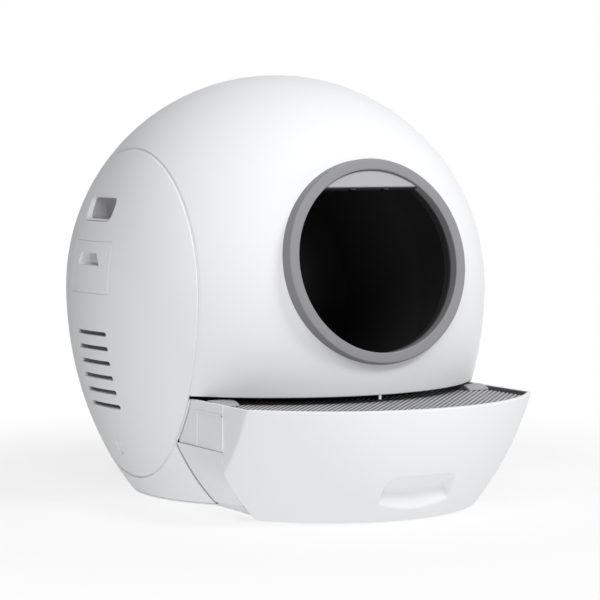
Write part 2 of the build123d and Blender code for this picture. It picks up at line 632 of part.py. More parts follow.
def base_screws():
    """Screws up through the base into the roller legs."""
    screws = []
    for x, y in leg_feet():
        seat = BASE_Z + SCREW_HEAD_HEIGHT + 0.4
        head = disc(SCREW_HEAD_RADIUS, seat - SCREW_HEAD_HEIGHT, seat, x, y)
        screws.append(head + disc(SCREW_RADIUS, seat - 1, BASE_PLATE_TOP + SCREW_REACH, x, y))
    return screws


def board_posts():
    """Middle of each post under the control board."""
    return [(side * (BOARD_HALF - 6), y) for y in (BOARD_Y0 + 6, BOARD_Y1 - 6) for side in (-1, 1)]


def control_board():
    """Board with its larger components."""
    z0 = BASE_PLATE_TOP + BOARD_POST
    top = z0 + BOARD_THICK
    board = block(-BOARD_HALF, BOARD_HALF, BOARD_Y0, BOARD_Y1, z0, top)
    step = GLOBE_SCALE
    y0 = BOARD_Y0
    board += block(-30 * step, -8 * step, y0 + 18 * step, y0 + 40 * step, top, top + 3)
    board += block(8 * step, 34 * step, y0 + 8 * step, y0 + 20 * step, top, top + 9)
    board += block(-34 * step, -16 * step, y0 + 47 * step, y0 + 56 * step, top, top + 8)
    for index in range(3):
        board += disc(4 * step, top - 0.5, top + 11, (10 + 11 * index) * step, y0 + 42 * step)
    return board


def leg_middle(station):
    """Drum-frame depth of a leg's middle, on the inner side of its roller."""
    away = ROLLER_WIDTH / 2 + LEG_GAP + LEG_THICK / 2
    return station - away if station > 0 else station + away


def roller_legs():
    """Four legs from the base to the roller pins."""
    outline = [(LEG_INNER_X, -LEG_BOTTOM), (LEG_OUTER_X, -LEG_BOTTOM), (LEG_TOP_X, ROLLER_Y - 12),
               (LEG_TOP_X, ROLLER_Y + 16), (LEG_INNER_X, ROLLER_Y + 16)]
    legs = []
    for station in (-ROLLER_STATION, ROLLER_STATION):
        middle = leg_middle(station)
        plate = extrude(Pos(0, 0, middle - LEG_THICK / 2) * make_face(Polyline(*outline, close=True)), LEG_THICK)
        plate -= disc(DRUM_RADIUS + 4, middle - LEG_THICK, middle + LEG_THICK)
        plate -= disc(PIN_RADIUS, middle - LEG_THICK, middle + LEG_THICK, ROLLER_X, ROLLER_Y)
        leg = DRUM * plate & block(-FAR, FAR, -FAR, FAR, BASE_PLATE_TOP, FAR)
        legs += both_sides(leg)
    for x, y in leg_feet():
        hole = disc(SCREW_RADIUS, 0, BASE_PLATE_TOP + SCREW_REACH, x, y)
        legs = [leg - hole for leg in legs]
    return legs


def roller_places():
    """Name, X and drum-frame station of every roller."""
    return [("roller_front_left", -ROLLER_X, ROLLER_STATION), ("roller_front_right", ROLLER_X, ROLLER_STATION),
            ("roller_rear_left", -ROLLER_X, -ROLLER_STATION), ("roller_rear_right", ROLLER_X, -ROLLER_STATION)]


def roller(x, station):
    """Roller with a running bore."""
    wheel = disc(ROLLER_RADIUS, station - ROLLER_WIDTH / 2, station + ROLLER_WIDTH / 2, x, ROLLER_Y)
    bore = disc(PIN_RADIUS + PIN_CLEARANCE, station - ROLLER_WIDTH, station + ROLLER_WIDTH, x, ROLLER_Y)
    return DRUM * (wheel - bore)


def roller_pins():
    """Headed pins through the legs and rollers."""
    pins = []
    for name, x, station in roller_places():
        out = 1 if station > 0 else -1
        far = station + out * (ROLLER_WIDTH / 2 + 0.4)
        near = leg_middle(station) - out * LEG_THICK / 2
        ends = sorted((far + out * PIN_HEAD_LENGTH, near - out * PIN_HEAD_LENGTH))
        pin = disc(PIN_RADIUS, ends[0], ends[1], x, ROLLER_Y)
        for edge, tip in ((far, far + out * PIN_HEAD_LENGTH), (near, near - out * PIN_HEAD_LENGTH)):
            low, high = sorted((edge, tip))
            pin += disc(PIN_HEAD, low, high, x, ROLLER_Y)
        pins.append(DRUM * pin)
    return pins


def drum_solid(inset=0.0):
    """Pear-shaped drum about its own axis, shrunk by an inset and flat at the mouth."""
    back = DRUM_BACK + inset
    radius = DRUM_RADIUS - inset
    mouth = DRUM_MOUTH_RADIUS - inset
    nose = ThreePointArc((radius, DRUM_NOSE_START), (DRUM_NOSE_MID_RADIUS - inset, DRUM_NOSE_MID),
                         (mouth, DRUM_MOUTH))
    tail = ThreePointArc((DRUM_BACK_RADIUS, back), (DRUM_TAIL_MID_RADIUS - inset * 0.7, DRUM_TAIL_MID + inset * 0.7),
                         (radius, DRUM_TAIL_START))
    lines = [Line((0, back), (DRUM_BACK_RADIUS, back)), tail,
             Line((radius, DRUM_TAIL_START), (radius, DRUM_NOSE_START)), nose,
             Line((mouth, DRUM_MOUTH), (0, DRUM_MOUTH)), Line((0, DRUM_MOUTH), (0, back))]
    return revolve(make_face(Plane.XZ * Curve(lines)), Axis.Z)


def flange_screw_points():
    """Places of the flange screws."""
    radius = (DRUM_RADIUS + FLANGE_RADIUS) / 2
    step = 2 * pi / DRUM_SCREW_COUNT
    return [(radius * cos(step * (i + 0.5)), radius * sin(step * (i + 0.5))) for i in range(DRUM_SCREW_COUNT)]


def drum_half(z0, z1, flange0, flange1):
    """One half of the drum wall with its half of the flange."""
    half = (drum_solid() - drum_solid(DRUM_WALL)) & block(-FAR, FAR, -FAR, FAR, z0, z1)
    half += disc(FLANGE_RADIUS, flange0, flange1) - disc(DRUM_RADIUS - 1, flange0, flange1)
    for x, y in flange_screw_points():
        half -= disc(DRUM_SCREW_RADIUS, -FLANGE_THICK - 1, FLANGE_THICK + 1, x, y)
    return half


def drum_front():
    """Front half of the drum with the mouth."""
    return DRUM * drum_half(0, FAR, 0, FLANGE_THICK)


def drum_rear():
    """Rear half of the drum with the waste port, the gear shoulder and the hub."""
    rear = drum_half(-FAR, 0, -FLANGE_THICK, 0)
    rear += disc(GEAR_SHOULDER, GEAR_FRONT, GEAR_FRONT + 4) - disc(DRUM_RADIUS - 1, GEAR_FRONT, GEAR_FRONT + 4)
    rear += disc(HUB_RADIUS, DRUM_BACK + 1, DRUM_BACK + HUB_LENGTH)
    rear -= disc(BUSH_RADIUS, DRUM_BACK - 1, DRUM_BACK + BUSH_LENGTH)
    rear -= block(-PORT_HALF, PORT_HALF, DRUM_RADIUS / 2, FAR, PORT_REAR, PORT_FRONT)
    return DRUM * rear


def drum_screws():
    """Screws that clamp the drum's flange."""
    screws = []
    for x, y in flange_screw_points():
        shank = disc(DRUM_SCREW_RADIUS, -FLANGE_THICK, FLANGE_THICK + 0.5, x, y)
        head = disc(DRUM_SCREW_RADIUS + DRUM_SCREW_HEAD, FLANGE_THICK, FLANGE_THICK + 2, x, y)
        screws.append(DRUM * (shank + head))
    return screws


def waste_sieve():
    """Slotted screen across the upper drum."""
    plate = drum_solid(DRUM_WALL) & block(-FAR, FAR, SIEVE_Y, SIEVE_Y + SIEVE_THICK, SIEVE_REAR, SIEVE_FRONT)
    columns = 15
    for row in (-1, 1):
        middle = (SIEVE_REAR + SIEVE_FRONT) / 2 + row * (SIEVE_SLOT_LENGTH / 2 + 6)
        for column in range(columns):
            x = (column - (columns - 1) / 2) * SIEVE_PITCH
            plate -= block(x - SIEVE_SLOT / 2, x + SIEVE_SLOT / 2, SIEVE_Y - 1, SIEVE_Y + SIEVE_THICK + 1,
                           middle - SIEVE_SLOT_LENGTH / 2, middle + SIEVE_SLOT_LENGTH / 2)
    return DRUM * plate


def rear_bush():
    """Bearing bush in the hub."""
    bush = disc(BUSH_RADIUS, DRUM_BACK, DRUM_BACK + BUSH_LENGTH)
    return DRUM * (bush - disc(BUSH_BORE, DRUM_BACK - 1, DRUM_BACK + BUSH_LENGTH + 1))


def rear_pivot_post():
    """Post behind the drum with the stub axle."""
    axle_z = GLOBE_CENTRE_Z - tan(radians(DRUM_TILT)) * POST_Y0
    post = block(-POST_HALF, POST_HALF, POST_Y0, POST_Y1, BASE_PLATE_TOP, axle_z + POST_HALF)
    stub = DRUM * disc(STUB_RADIUS, DRUM_BACK - 9, DRUM_BACK + BUSH_LENGTH - 2)
    return post + (stub & block(-FAR, FAR, -FAR, POST_Y1 - 1, 0, FAR))


def gear_outline(teeth, turn):
    """Involute gear outline; turn is the angle of the first tooth in radians."""
    pitch = GEAR_MODULE * teeth / 2
    base = pitch * cos(radians(PRESSURE_ANGLE))
    tip = pitch + GEAR_MODULE
    root = pitch - 1.25 * GEAR_MODULE
    spread = tan(radians(PRESSURE_ANGLE)) - radians(PRESSURE_ANGLE)
    half = pi / (2 * teeth) - GEAR_BACKLASH / (4 * pitch) + spread
    low = max(base, root)
    flank = []
    for index in range(4):
        radius = low + (tip - low) * index / 3
        angle = acos(min(1.0, base / radius))
        flank.append((radius, half - tan(angle) + angle))
    if root < base:
        flank.insert(0, (root, flank[0][1]))
    points = []
    for tooth in range(teeth):
        middle = turn + 2 * pi * tooth / teeth
        for radius, angle in flank:
            points.append((radius * cos(middle - angle), radius * sin(middle - angle)))
        for radius, angle in reversed(flank):
            points.append((radius * cos(middle + angle), radius * sin(middle + angle)))
    return make_face(Polyline(*points, close=True))


def drum_gear():
    """Toothed ring against the drum's shoulder."""
    ring = extrude(gear_outline(GEAR_TEETH, radians(MOTOR_ANGLE)), GEAR_WIDTH)
    ring = Pos(0, 0, GEAR_FRONT - GEAR_WIDTH) * ring
    return DRUM * (ring - disc(DRUM_RADIUS + 0.1, GEAR_FRONT - 2 * GEAR_WIDTH, GEAR_FRONT + GEAR_WIDTH))


def drive_pinion():
    """Pinion with its shaft into the motor."""
    turn = radians(MOTOR_ANGLE) + pi + pi / PINION_TEETH
    wheel = Pos(MOTOR_X, MOTOR_Y, GEAR_FRONT - GEAR_WIDTH) * extrude(gear_outline(PINION_TEETH, turn), GEAR_WIDTH)
    shaft = disc(SHAFT_RADIUS, GEAR_FRONT - GEAR_WIDTH - 2, BRACKET_FRONT + 10, MOTOR_X, MOTOR_Y)
    return DRUM * (wheel + shaft)


def drive_motor():
    """Gear motor in front of its bracket, with the shaft's bore."""
    box = disc(GEARBOX_RADIUS, BRACKET_FRONT, BRACKET_FRONT + GEARBOX_LENGTH, MOTOR_X, MOTOR_Y)
    can = disc(MOTOR_RADIUS, BRACKET_FRONT + GEARBOX_LENGTH, BRACKET_FRONT + GEARBOX_LENGTH + MOTOR_LENGTH,
               MOTOR_X, MOTOR_Y)
    cap = disc(MOTOR_RADIUS / 2, BRACKET_FRONT + GEARBOX_LENGTH + MOTOR_LENGTH,
               BRACKET_FRONT + GEARBOX_LENGTH + MOTOR_LENGTH + 4, MOTOR_X, MOTOR_Y)
    bore = disc(SHAFT_RADIUS + SHAFT_CLEARANCE, BRACKET_FRONT - 1, BRACKET_FRONT + 11, MOTOR_X, MOTOR_Y)
    return DRUM * (box + can + cap - bore)


def motor_bracket():
    """Plate from the base to the motor's face."""
    inner = LEG_OUTER_X - 2
    outer = inner + BRACKET_FOOT
    outline = [(inner, -LEG_BOTTOM), (outer, -LEG_BOTTOM), (outer, -BRACKET_KNEE), (MOTOR_X + 24, MOTOR_Y - 24),
               (MOTOR_X + 24, MOTOR_Y + 24), (MOTOR_X - 16, MOTOR_Y + 24), (inner + 10, -BRACKET_NECK)]
    plate = extrude(make_face(Polyline(*outline, close=True)), BRACKET_THICK)
    plate = Pos(0, 0, BRACKET_FRONT - BRACKET_THICK) * plate
    plate -= disc(GEAR_SHOULDER + 2, BRACKET_FRONT - 20, BRACKET_FRONT + 20)
    plate -= disc(SHAFT_RADIUS + 2, BRACKET_FRONT - 20, BRACKET_FRONT + 20, MOTOR_X, MOTOR_Y)
    return DRUM * plate & block(-FAR, FAR, -FAR, FAR, BASE_PLATE_TOP, FAR)


def drawer_solid(inset=0.0):
    """Globe shape moved forward, which bounds the drawer's front."""
    return Pos(0, -DRAWER_SHIFT, 0) * globe_solid(inset)


def scoop_prism(margin):
    """Rounded outline of the finger scoop, run along Y."""
    outline = RectangleRounded(SCOOP_WIDTH + 2 * margin, SCOOP_HEIGHT + 2 * margin, SCOOP_CORNER + margin)
    place = Plane(origin=(0, -FAR, SCOOP_Z), x_dir=(1, 0, 0), z_dir=(0, -1, 0))
    return extrude(place * outline, -FAR)


def scoop_bar(radius):
    """Level bar whose surface forms the scoop."""
    near = globe_radius_at(SCOOP_Z)
    slope = (globe_radius_at(SCOOP_Z + 1) - globe_radius_at(SCOOP_Z - 1)) / 2
    length = sqrt(1 + slope ** 2)
    out = SCOOP_RADIUS - SCOOP_DEPTH
    y = -DRAWER_SHIFT - near - out / length
    z = SCOOP_Z - out * slope / length
    return Pos(0, y, z) * Rot(0, 90, 0) * Cylinder(radius, 2 * SCOOP_WIDTH)


def drawer_fascia():
    """Bulging front with side returns, a floor flange and the finger scoop."""
    half = DRAWER_HALF
    body = drawer_solid() & block(-half, half, -FAR, FASCIA_REAR_Y, BASE_Z, DRAWER_RIM_Z)
    wall = half - FASCIA_WALL
    hollow = drawer_solid(FASCIA_WALL)
    body -= hollow & block(-wall, wall, -FAR, FAR, TRAY_Z, FAR)
    body -= hollow & block(-wall, wall, -FAR, FAR, 0, FASCIA_FLOOR_Z)
    cup = scoop_bar(SCOOP_RADIUS + SCOOP_WALL) & scoop_prism(SCOOP_WALL) & drawer_solid()
    body += cup & block(-half, half, -FAR, FASCIA_REAR_Y, BASE_Z, FAR)
    return body - (scoop_bar(SCOOP_RADIUS) & scoop_prism(0))


def drawer_frame():
    """Side walls with their bands and ridges, and the plate under the mat."""
    half = DRAWER_HALF
    bottom = LEDGE_TOP_Z + FRAME_WALL_GAP
    front = FASCIA_REAR_Y
    band = DRAWER_RIM_Z - FRAME_BAND
    wall = block(half - FASCIA_WALL, half, front, FRAME_REAR_Y, bottom, DRAWER_RIM_Z)
    wall -= block(0, FAR, SLIT_Y - 2 * SEAM_GAP, FAR, bottom, bottom + FRAME_TAIL_LIFT)
    wall += block(half - 1, half + FRAME_BAND_PROUD, front, FRAME_BAND_REAR_Y, band, DRAWER_RIM_Z)
    ridge = FRAME_RIDGE_WIDTH / 2
    wall += block(half - 1, half + FRAME_BAND_PROUD, FRAME_RIDGE_Y - ridge, FRAME_RIDGE_Y + ridge, bottom, band + 1)
    top = MAT_TOP_Z - MAT_THICK
    plate = drawer_solid(FASCIA_WALL + 0.4) & block(-half + FASCIA_WALL + 0.4, half - FASCIA_WALL - 0.4, -FAR,
                                                    front + 1, top - STEP_THICK, top)
    plate += block(-half + 1, half - 1, front, FRAME_REAR_Y, top - STEP_THICK, top)
    plate -= disc(STEP_REAR_RADIUS, 0, FAR)
    for side in both_sides(wall):
        plate += side
    return plate


def step_mat():
    """Mat on the step plate; its rear edge passes under the globe's front edge."""
    half = DRAWER_HALF - FASCIA_WALL - MAT_EDGE_GAP
    mat = drawer_solid(FASCIA_WALL + MAT_EDGE_GAP) & block(-half, half, -FAR, MAT_REAR_Y,
                                                         MAT_TOP_Z - MAT_THICK, MAT_TOP_Z)
    return mat - disc(MAT_REAR_RADIUS, 0, FAR)


def mat_clips():
    """Wedges that hold the mat's two ends."""
    low = MAT_TOP_Z + CLIP_LOW
    high = MAT_TOP_Z + CLIP_HIGH
    outline = [(CLIP_X0, MAT_TOP_Z), (CLIP_X1, MAT_TOP_Z), (CLIP_X1, high), (CLIP_X1 - 8, high), (CLIP_X0, low)]
    place = Plane(origin=(0, CLIP_Y0, 0), x_dir=(1, 0, 0), z_dir=(0, -1, 0))
    wedge = extrude(place * make_face(Polyline(*outline, close=True)), -(CLIP_Y1 - CLIP_Y0))
    corner = Plane.XY * make_face(Polyline((CLIP_X0 - 1, CLIP_Y1 + 1), (CLIP_X1 + 1, CLIP_Y1 + 1),
                                           (CLIP_X0 - 1, CLIP_Y1 - 24), close=True))
    wedge -= extrude(corner, FAR)
    return both_sides(wedge)


def drawer_tray():
    """Sliding floor with low lips, joined to the fascia's floor flange."""
    top = TRAY_Z + TRAY_THICK
    half = TRAY_HALF
    floor = block(-half, half, FASCIA_REAR_Y - 1, TRAY_REAR_Y, TRAY_Z, top)
    floor += drawer_solid(FASCIA_WALL + 0.3) & block(-half, half, -FAR, FASCIA_REAR_Y, TRAY_Z, top)
    floor -= scoop_bar(SCOOP_RADIUS + SCOOP_WALL + 0.3) & scoop_prism(SCOOP_WALL + 0.3)
    lip = 2.0
    for x in (-half, half - lip):
        floor += block(x, x + lip, BIN_FRONT_Y, TRAY_REAR_Y, TRAY_Z, top + TRAY_LIP)
    floor += block(-half, half, TRAY_REAR_Y - lip, TRAY_REAR_Y, TRAY_Z, top + TRAY_LIP)
    return floor


def waste_bin():
    """Open bin that stands on the tray."""
    floor = TRAY_Z + TRAY_THICK
    half = BIN_HALF
    wall = BIN_WALL
    rim = block(-half - BIN_RIM, half + BIN_RIM, BIN_FRONT_Y - BIN_RIM, BIN_REAR_Y + BIN_RIM, BIN_TOP_Z - 3, BIN_TOP_Z)
    body = block(-half, half, BIN_FRONT_Y, BIN_REAR_Y, floor, BIN_TOP_Z) + rim
    return body - block(-half + wall, half - wall, BIN_FRONT_Y + wall, BIN_REAR_Y - wall, floor + wall, FAR)


def drawer_runners():
    """Low strips that the tray slides on."""
    strip = block(RUNNER_X - RUNNER_WIDTH / 2, RUNNER_X + RUNNER_WIDTH / 2, FRONT_FLOOR_Y + 2, TRAY_REAR_Y,
                  BASE_PLATE_TOP, TRAY_Z - RUNNER_GAP)
    return both_sides(strip)


NODES = {
    "globe_shell": globe_shell,
    "rear_shell": rear_shell,
    "left_side_cover": left_side_cover,
    "right_side_cover": right_side_cover,
    "left_grip_cup": left_grip_cup,
    "right_grip_cup": right_grip_cup,
    "access_lid": access_lid,
    "lid_latch": lid_latch,
    "scent_box": scent_box,
    "scent_cartridge": scent_cartridge,
    "power_socket": power_socket,
    "fan_shroud": fan_shroud,
    "fan_impeller": fan_impeller,
    "entry_ring": entry_ring,
    "entry_visor": entry_visor,
    "sensor_lenses": sensor_lenses,
    "mouth_seal": mouth_seal,
    "base_tray": base_tray,
    "load_cells": load_cells,
    "rubber_feet": rubber_feet,
    "base_screws": base_screws,
    "control_board": control_board,
    "roller_legs": roller_legs,
    "roller_pins": roller_pins,
    "drum_front": drum_front,
    "drum_rear": drum_rear,
    "drum_screws": drum_screws,
    "drum_gear": drum_gear,
    "waste_sieve": waste_sieve,
    "rear_bush": rear_bush,
    "rear_pivot_post": rear_pivot_post,
    "drive_pinion": drive_pinion,
    "drive_motor": drive_motor,
    "motor_bracket": motor_bracket,
    "drawer_fascia": drawer_fascia,
    "drawer_frame": drawer_frame,
    "drawer_tray": drawer_tray,
    "waste_bin": waste_bin,
    "step_mat": step_mat,
    "mat_clips": mat_clips,
    "drawer_runners": drawer_runners,
}


def solids_of(shape):
    """All solids of a shape or of a list of shapes."""
    shapes = shape if isinstance(shape, list) else [shape]
    return [solid for one in shapes for solid in one.solids()]


def write_node(name, shape):
    """Write one node's solids, moved into the shared frame."""
    solids = [Pos(0, FRAME_SHIFT_Y, 0) * solid for solid in solids_of(shape)]
    whole = solids[0] if len(solids) == 1 else Compound(children=solids)
    export_step(whole, "parts/" + name + ".step")
    box = whole.bounding_box()
    print(name, len(solids), "solids", round(sum(s.volume for s in solids) / 1000, 1), "cm3",
          "valid" if all(s.is_valid for s in solids) else "INVALID", box.min, box.max, flush=True)


def main():
    """Write every node."""
    os.makedirs("parts", exist_ok=True)
    for name, make in NODES.items():
        write_node(name, make())
    for name, x, station in roller_places():
        write_node(name, roller(x, station))


if __name__ == "__main__":
    main()
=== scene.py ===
"""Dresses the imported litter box: smooth moulded shells, a ribbed step mat, finishes, studio and camera.

Sizes are millimetres in the globe's own frame: Z is the globe's upright axis, and the entry faces -Y.
put_mesh moves each piece into the shared frame and writes metres.
"""

from __future__ import annotations

import logging
from dataclasses import dataclass, field
from enum import Enum
from typing import Callable, Sequence, Union

import bpy
import numpy as np
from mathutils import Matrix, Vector

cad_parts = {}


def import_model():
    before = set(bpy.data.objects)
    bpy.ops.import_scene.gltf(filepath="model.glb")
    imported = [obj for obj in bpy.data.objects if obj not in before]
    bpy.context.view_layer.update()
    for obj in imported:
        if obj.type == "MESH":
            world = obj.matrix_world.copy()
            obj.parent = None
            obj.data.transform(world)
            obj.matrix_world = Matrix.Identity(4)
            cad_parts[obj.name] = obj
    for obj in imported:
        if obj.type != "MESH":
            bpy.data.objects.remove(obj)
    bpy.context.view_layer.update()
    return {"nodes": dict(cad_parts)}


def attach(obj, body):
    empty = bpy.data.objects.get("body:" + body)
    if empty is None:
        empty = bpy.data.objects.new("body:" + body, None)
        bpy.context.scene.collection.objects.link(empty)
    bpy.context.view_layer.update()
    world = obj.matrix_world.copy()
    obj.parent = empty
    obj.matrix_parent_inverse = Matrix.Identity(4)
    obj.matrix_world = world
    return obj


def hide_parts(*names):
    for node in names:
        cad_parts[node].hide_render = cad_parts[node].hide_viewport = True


LOG = logging.getLogger("litter_box")
Points = np.ndarray
Field = Callable[[Points], np.ndarray]
Pair = tuple[float, float]
Triple = tuple[float, float, float]

FRAME_SHIFT_Y = 58.749
UP = np.array([0.0, 0.0, 1.0])
AHEAD = np.array([0.0, -1.0, 0.0])
CLOSE = 0.8


def unit(vectors: Points) -> Points:
    """Vectors scaled to length 1."""
    return vectors / np.maximum(np.linalg.norm(vectors, axis=-1, keepdims=True), 1e-12)


def smooth_min(a: Points, b: Points, width: float) -> Points:
    """Smaller of two values, with the change from one to the other rounded over a width."""
    share = np.clip(0.5 + 0.5 * (b - a) / width, 0.0, 1.0)
    return b + (a - b) * share - width * share * (1.0 - share)


def inside_rounded_box(u: Points, v: Points, half_u: float, half_v: float, corner: float) -> Points:
    """Distance inside a rounded rectangle: positive within, negative outside.

    Args:
        u: Places along the length, from the middle.
        v: Places along the height, from the middle.
        half_u: Half the length.
        half_v: Half the height.
        corner: Radius of the corners.

    Returns:
        The distances.
    """
    du = np.abs(u) - half_u + corner
    dv = np.abs(v) - half_v + corner
    out = np.hypot(np.maximum(du, 0), np.maximum(dv, 0)) + np.minimum(np.maximum(du, dv), 0)
    return corner - out


def inside_polygon(u: Points, v: Points, corners: Points) -> Points:
    """Distance inside a convex outline given anticlockwise: the least distance from its edges' lines.

    Args:
        u: First coordinates.
        v: Second coordinates.
        corners: Corners of the outline.

    Returns:
        The distances.
    """
    ahead = unit(np.roll(corners, -1, axis=0) - corners)
    gap_u = u[..., None] - corners[:, 0]
    gap_v = v[..., None] - corners[:, 1]
    return np.min(ahead[:, 0] * gap_v - ahead[:, 1] * gap_u, axis=-1)


def spaced(low: float, high: float, step: float, *fine: Triple) -> Points:
    """Grid lines from low to high.

    Args:
        low: First line.
        high: Last line.
        step: Usual spacing.
        fine: Spans as (from, to, spacing) that get closer lines.

    Returns:
        The lines in rising order.
    """
    lines = np.linspace(low, high, max(2, int(round((high - low) / step)) + 1))
    for start, end, close in fine:
        outside = (lines < start - close / 2) | (lines > end + close / 2)
        inner = np.linspace(start, end, int(round((end - start) / close)) + 1)
        lines = np.concatenate([lines[outside], inner])
    return np.unique(np.clip(lines, low, high))


def framed(middle: float, half: float, step: float, margins: Pair, *fine: tuple) -> Points:
    """Grid lines over a span, close together at both of its ends.

    Args:
        middle: Middle of the span.
        half: Half its length.
        step: Usual spacing.
        margins: How far the close lines reach out of the span and into it.
        fine: Further spans as (from, to) that get close lines.

    Returns:
        The lines in rising order.
    """
    out, inner = margins
    low, high = middle - half, middle + half
    ends = [(low - out, low + inner), (high - inner, high + out)]
    return spaced(low - out, high + out, step, *((*span, CLOSE) for span in (*ends, *fine)))


class Solid:
    """Points and faces of one piece, with a normal at every face corner."""

    def __init__(self) -> None:
        """Starts empty."""
        self.points: list[Points] = []
        self.faces: list[Points] = []
        self.normals: list[Points] = []
        self.count = 0

    def add_points(self, points: Points) -> int:
        """Adds points and returns the index of the first.

        Args:
            points: Points to add.

        Returns:
            Index of the first of them.
        """
        first = self.count
        self.points.append(points.reshape(-1, 3))
        self.count += len(self.points[-1])
        return first

    def add_faces(self, faces: Points, normals: Points) -> None:
        """Adds faces of one corner count with their corner normals.

        Args:
            faces: Rows of point indices.
            normals: A normal for each corner of each face.
        """
        if len(faces):
            self.faces.append(faces)
            self.normals.append(unit(normals))

    def add(self, other: "Solid") -> "Solid":
        """Adds another solid's faces and returns this one.

        Args:
            other: Solid to add.

        Returns:
            This solid.
        """
        first = self.add_points(np.concatenate(other.points))
        for faces, normals in zip(other.faces, other.normals):
            self.add_faces(faces + first, normals)
        return self

    def add_strip(self, ring_a: Points, ring_b: Points, normal_a: Points, normal_b: Points) -> None:
        """Joins one ring to the next with quads; each row of a ring is a (from, to) pair of indices.

        Args:
            ring_a: Pairs on the first ring.
            ring_b: Pairs on the second ring.
            normal_a: Normals of the first ring's pairs.
            normal_b: Normals of the second ring's pairs.
        """
        faces = np.stack([ring_a[:, 1], ring_a[:, 0], ring_b[:, 0], ring_b[:, 1]], axis=1)
        normals = np.stack([normal_a[:, 1], normal_a[:, 0], normal_b[:, 0], normal_b[:, 1]], axis=1)
        self.add_faces(faces, normals)


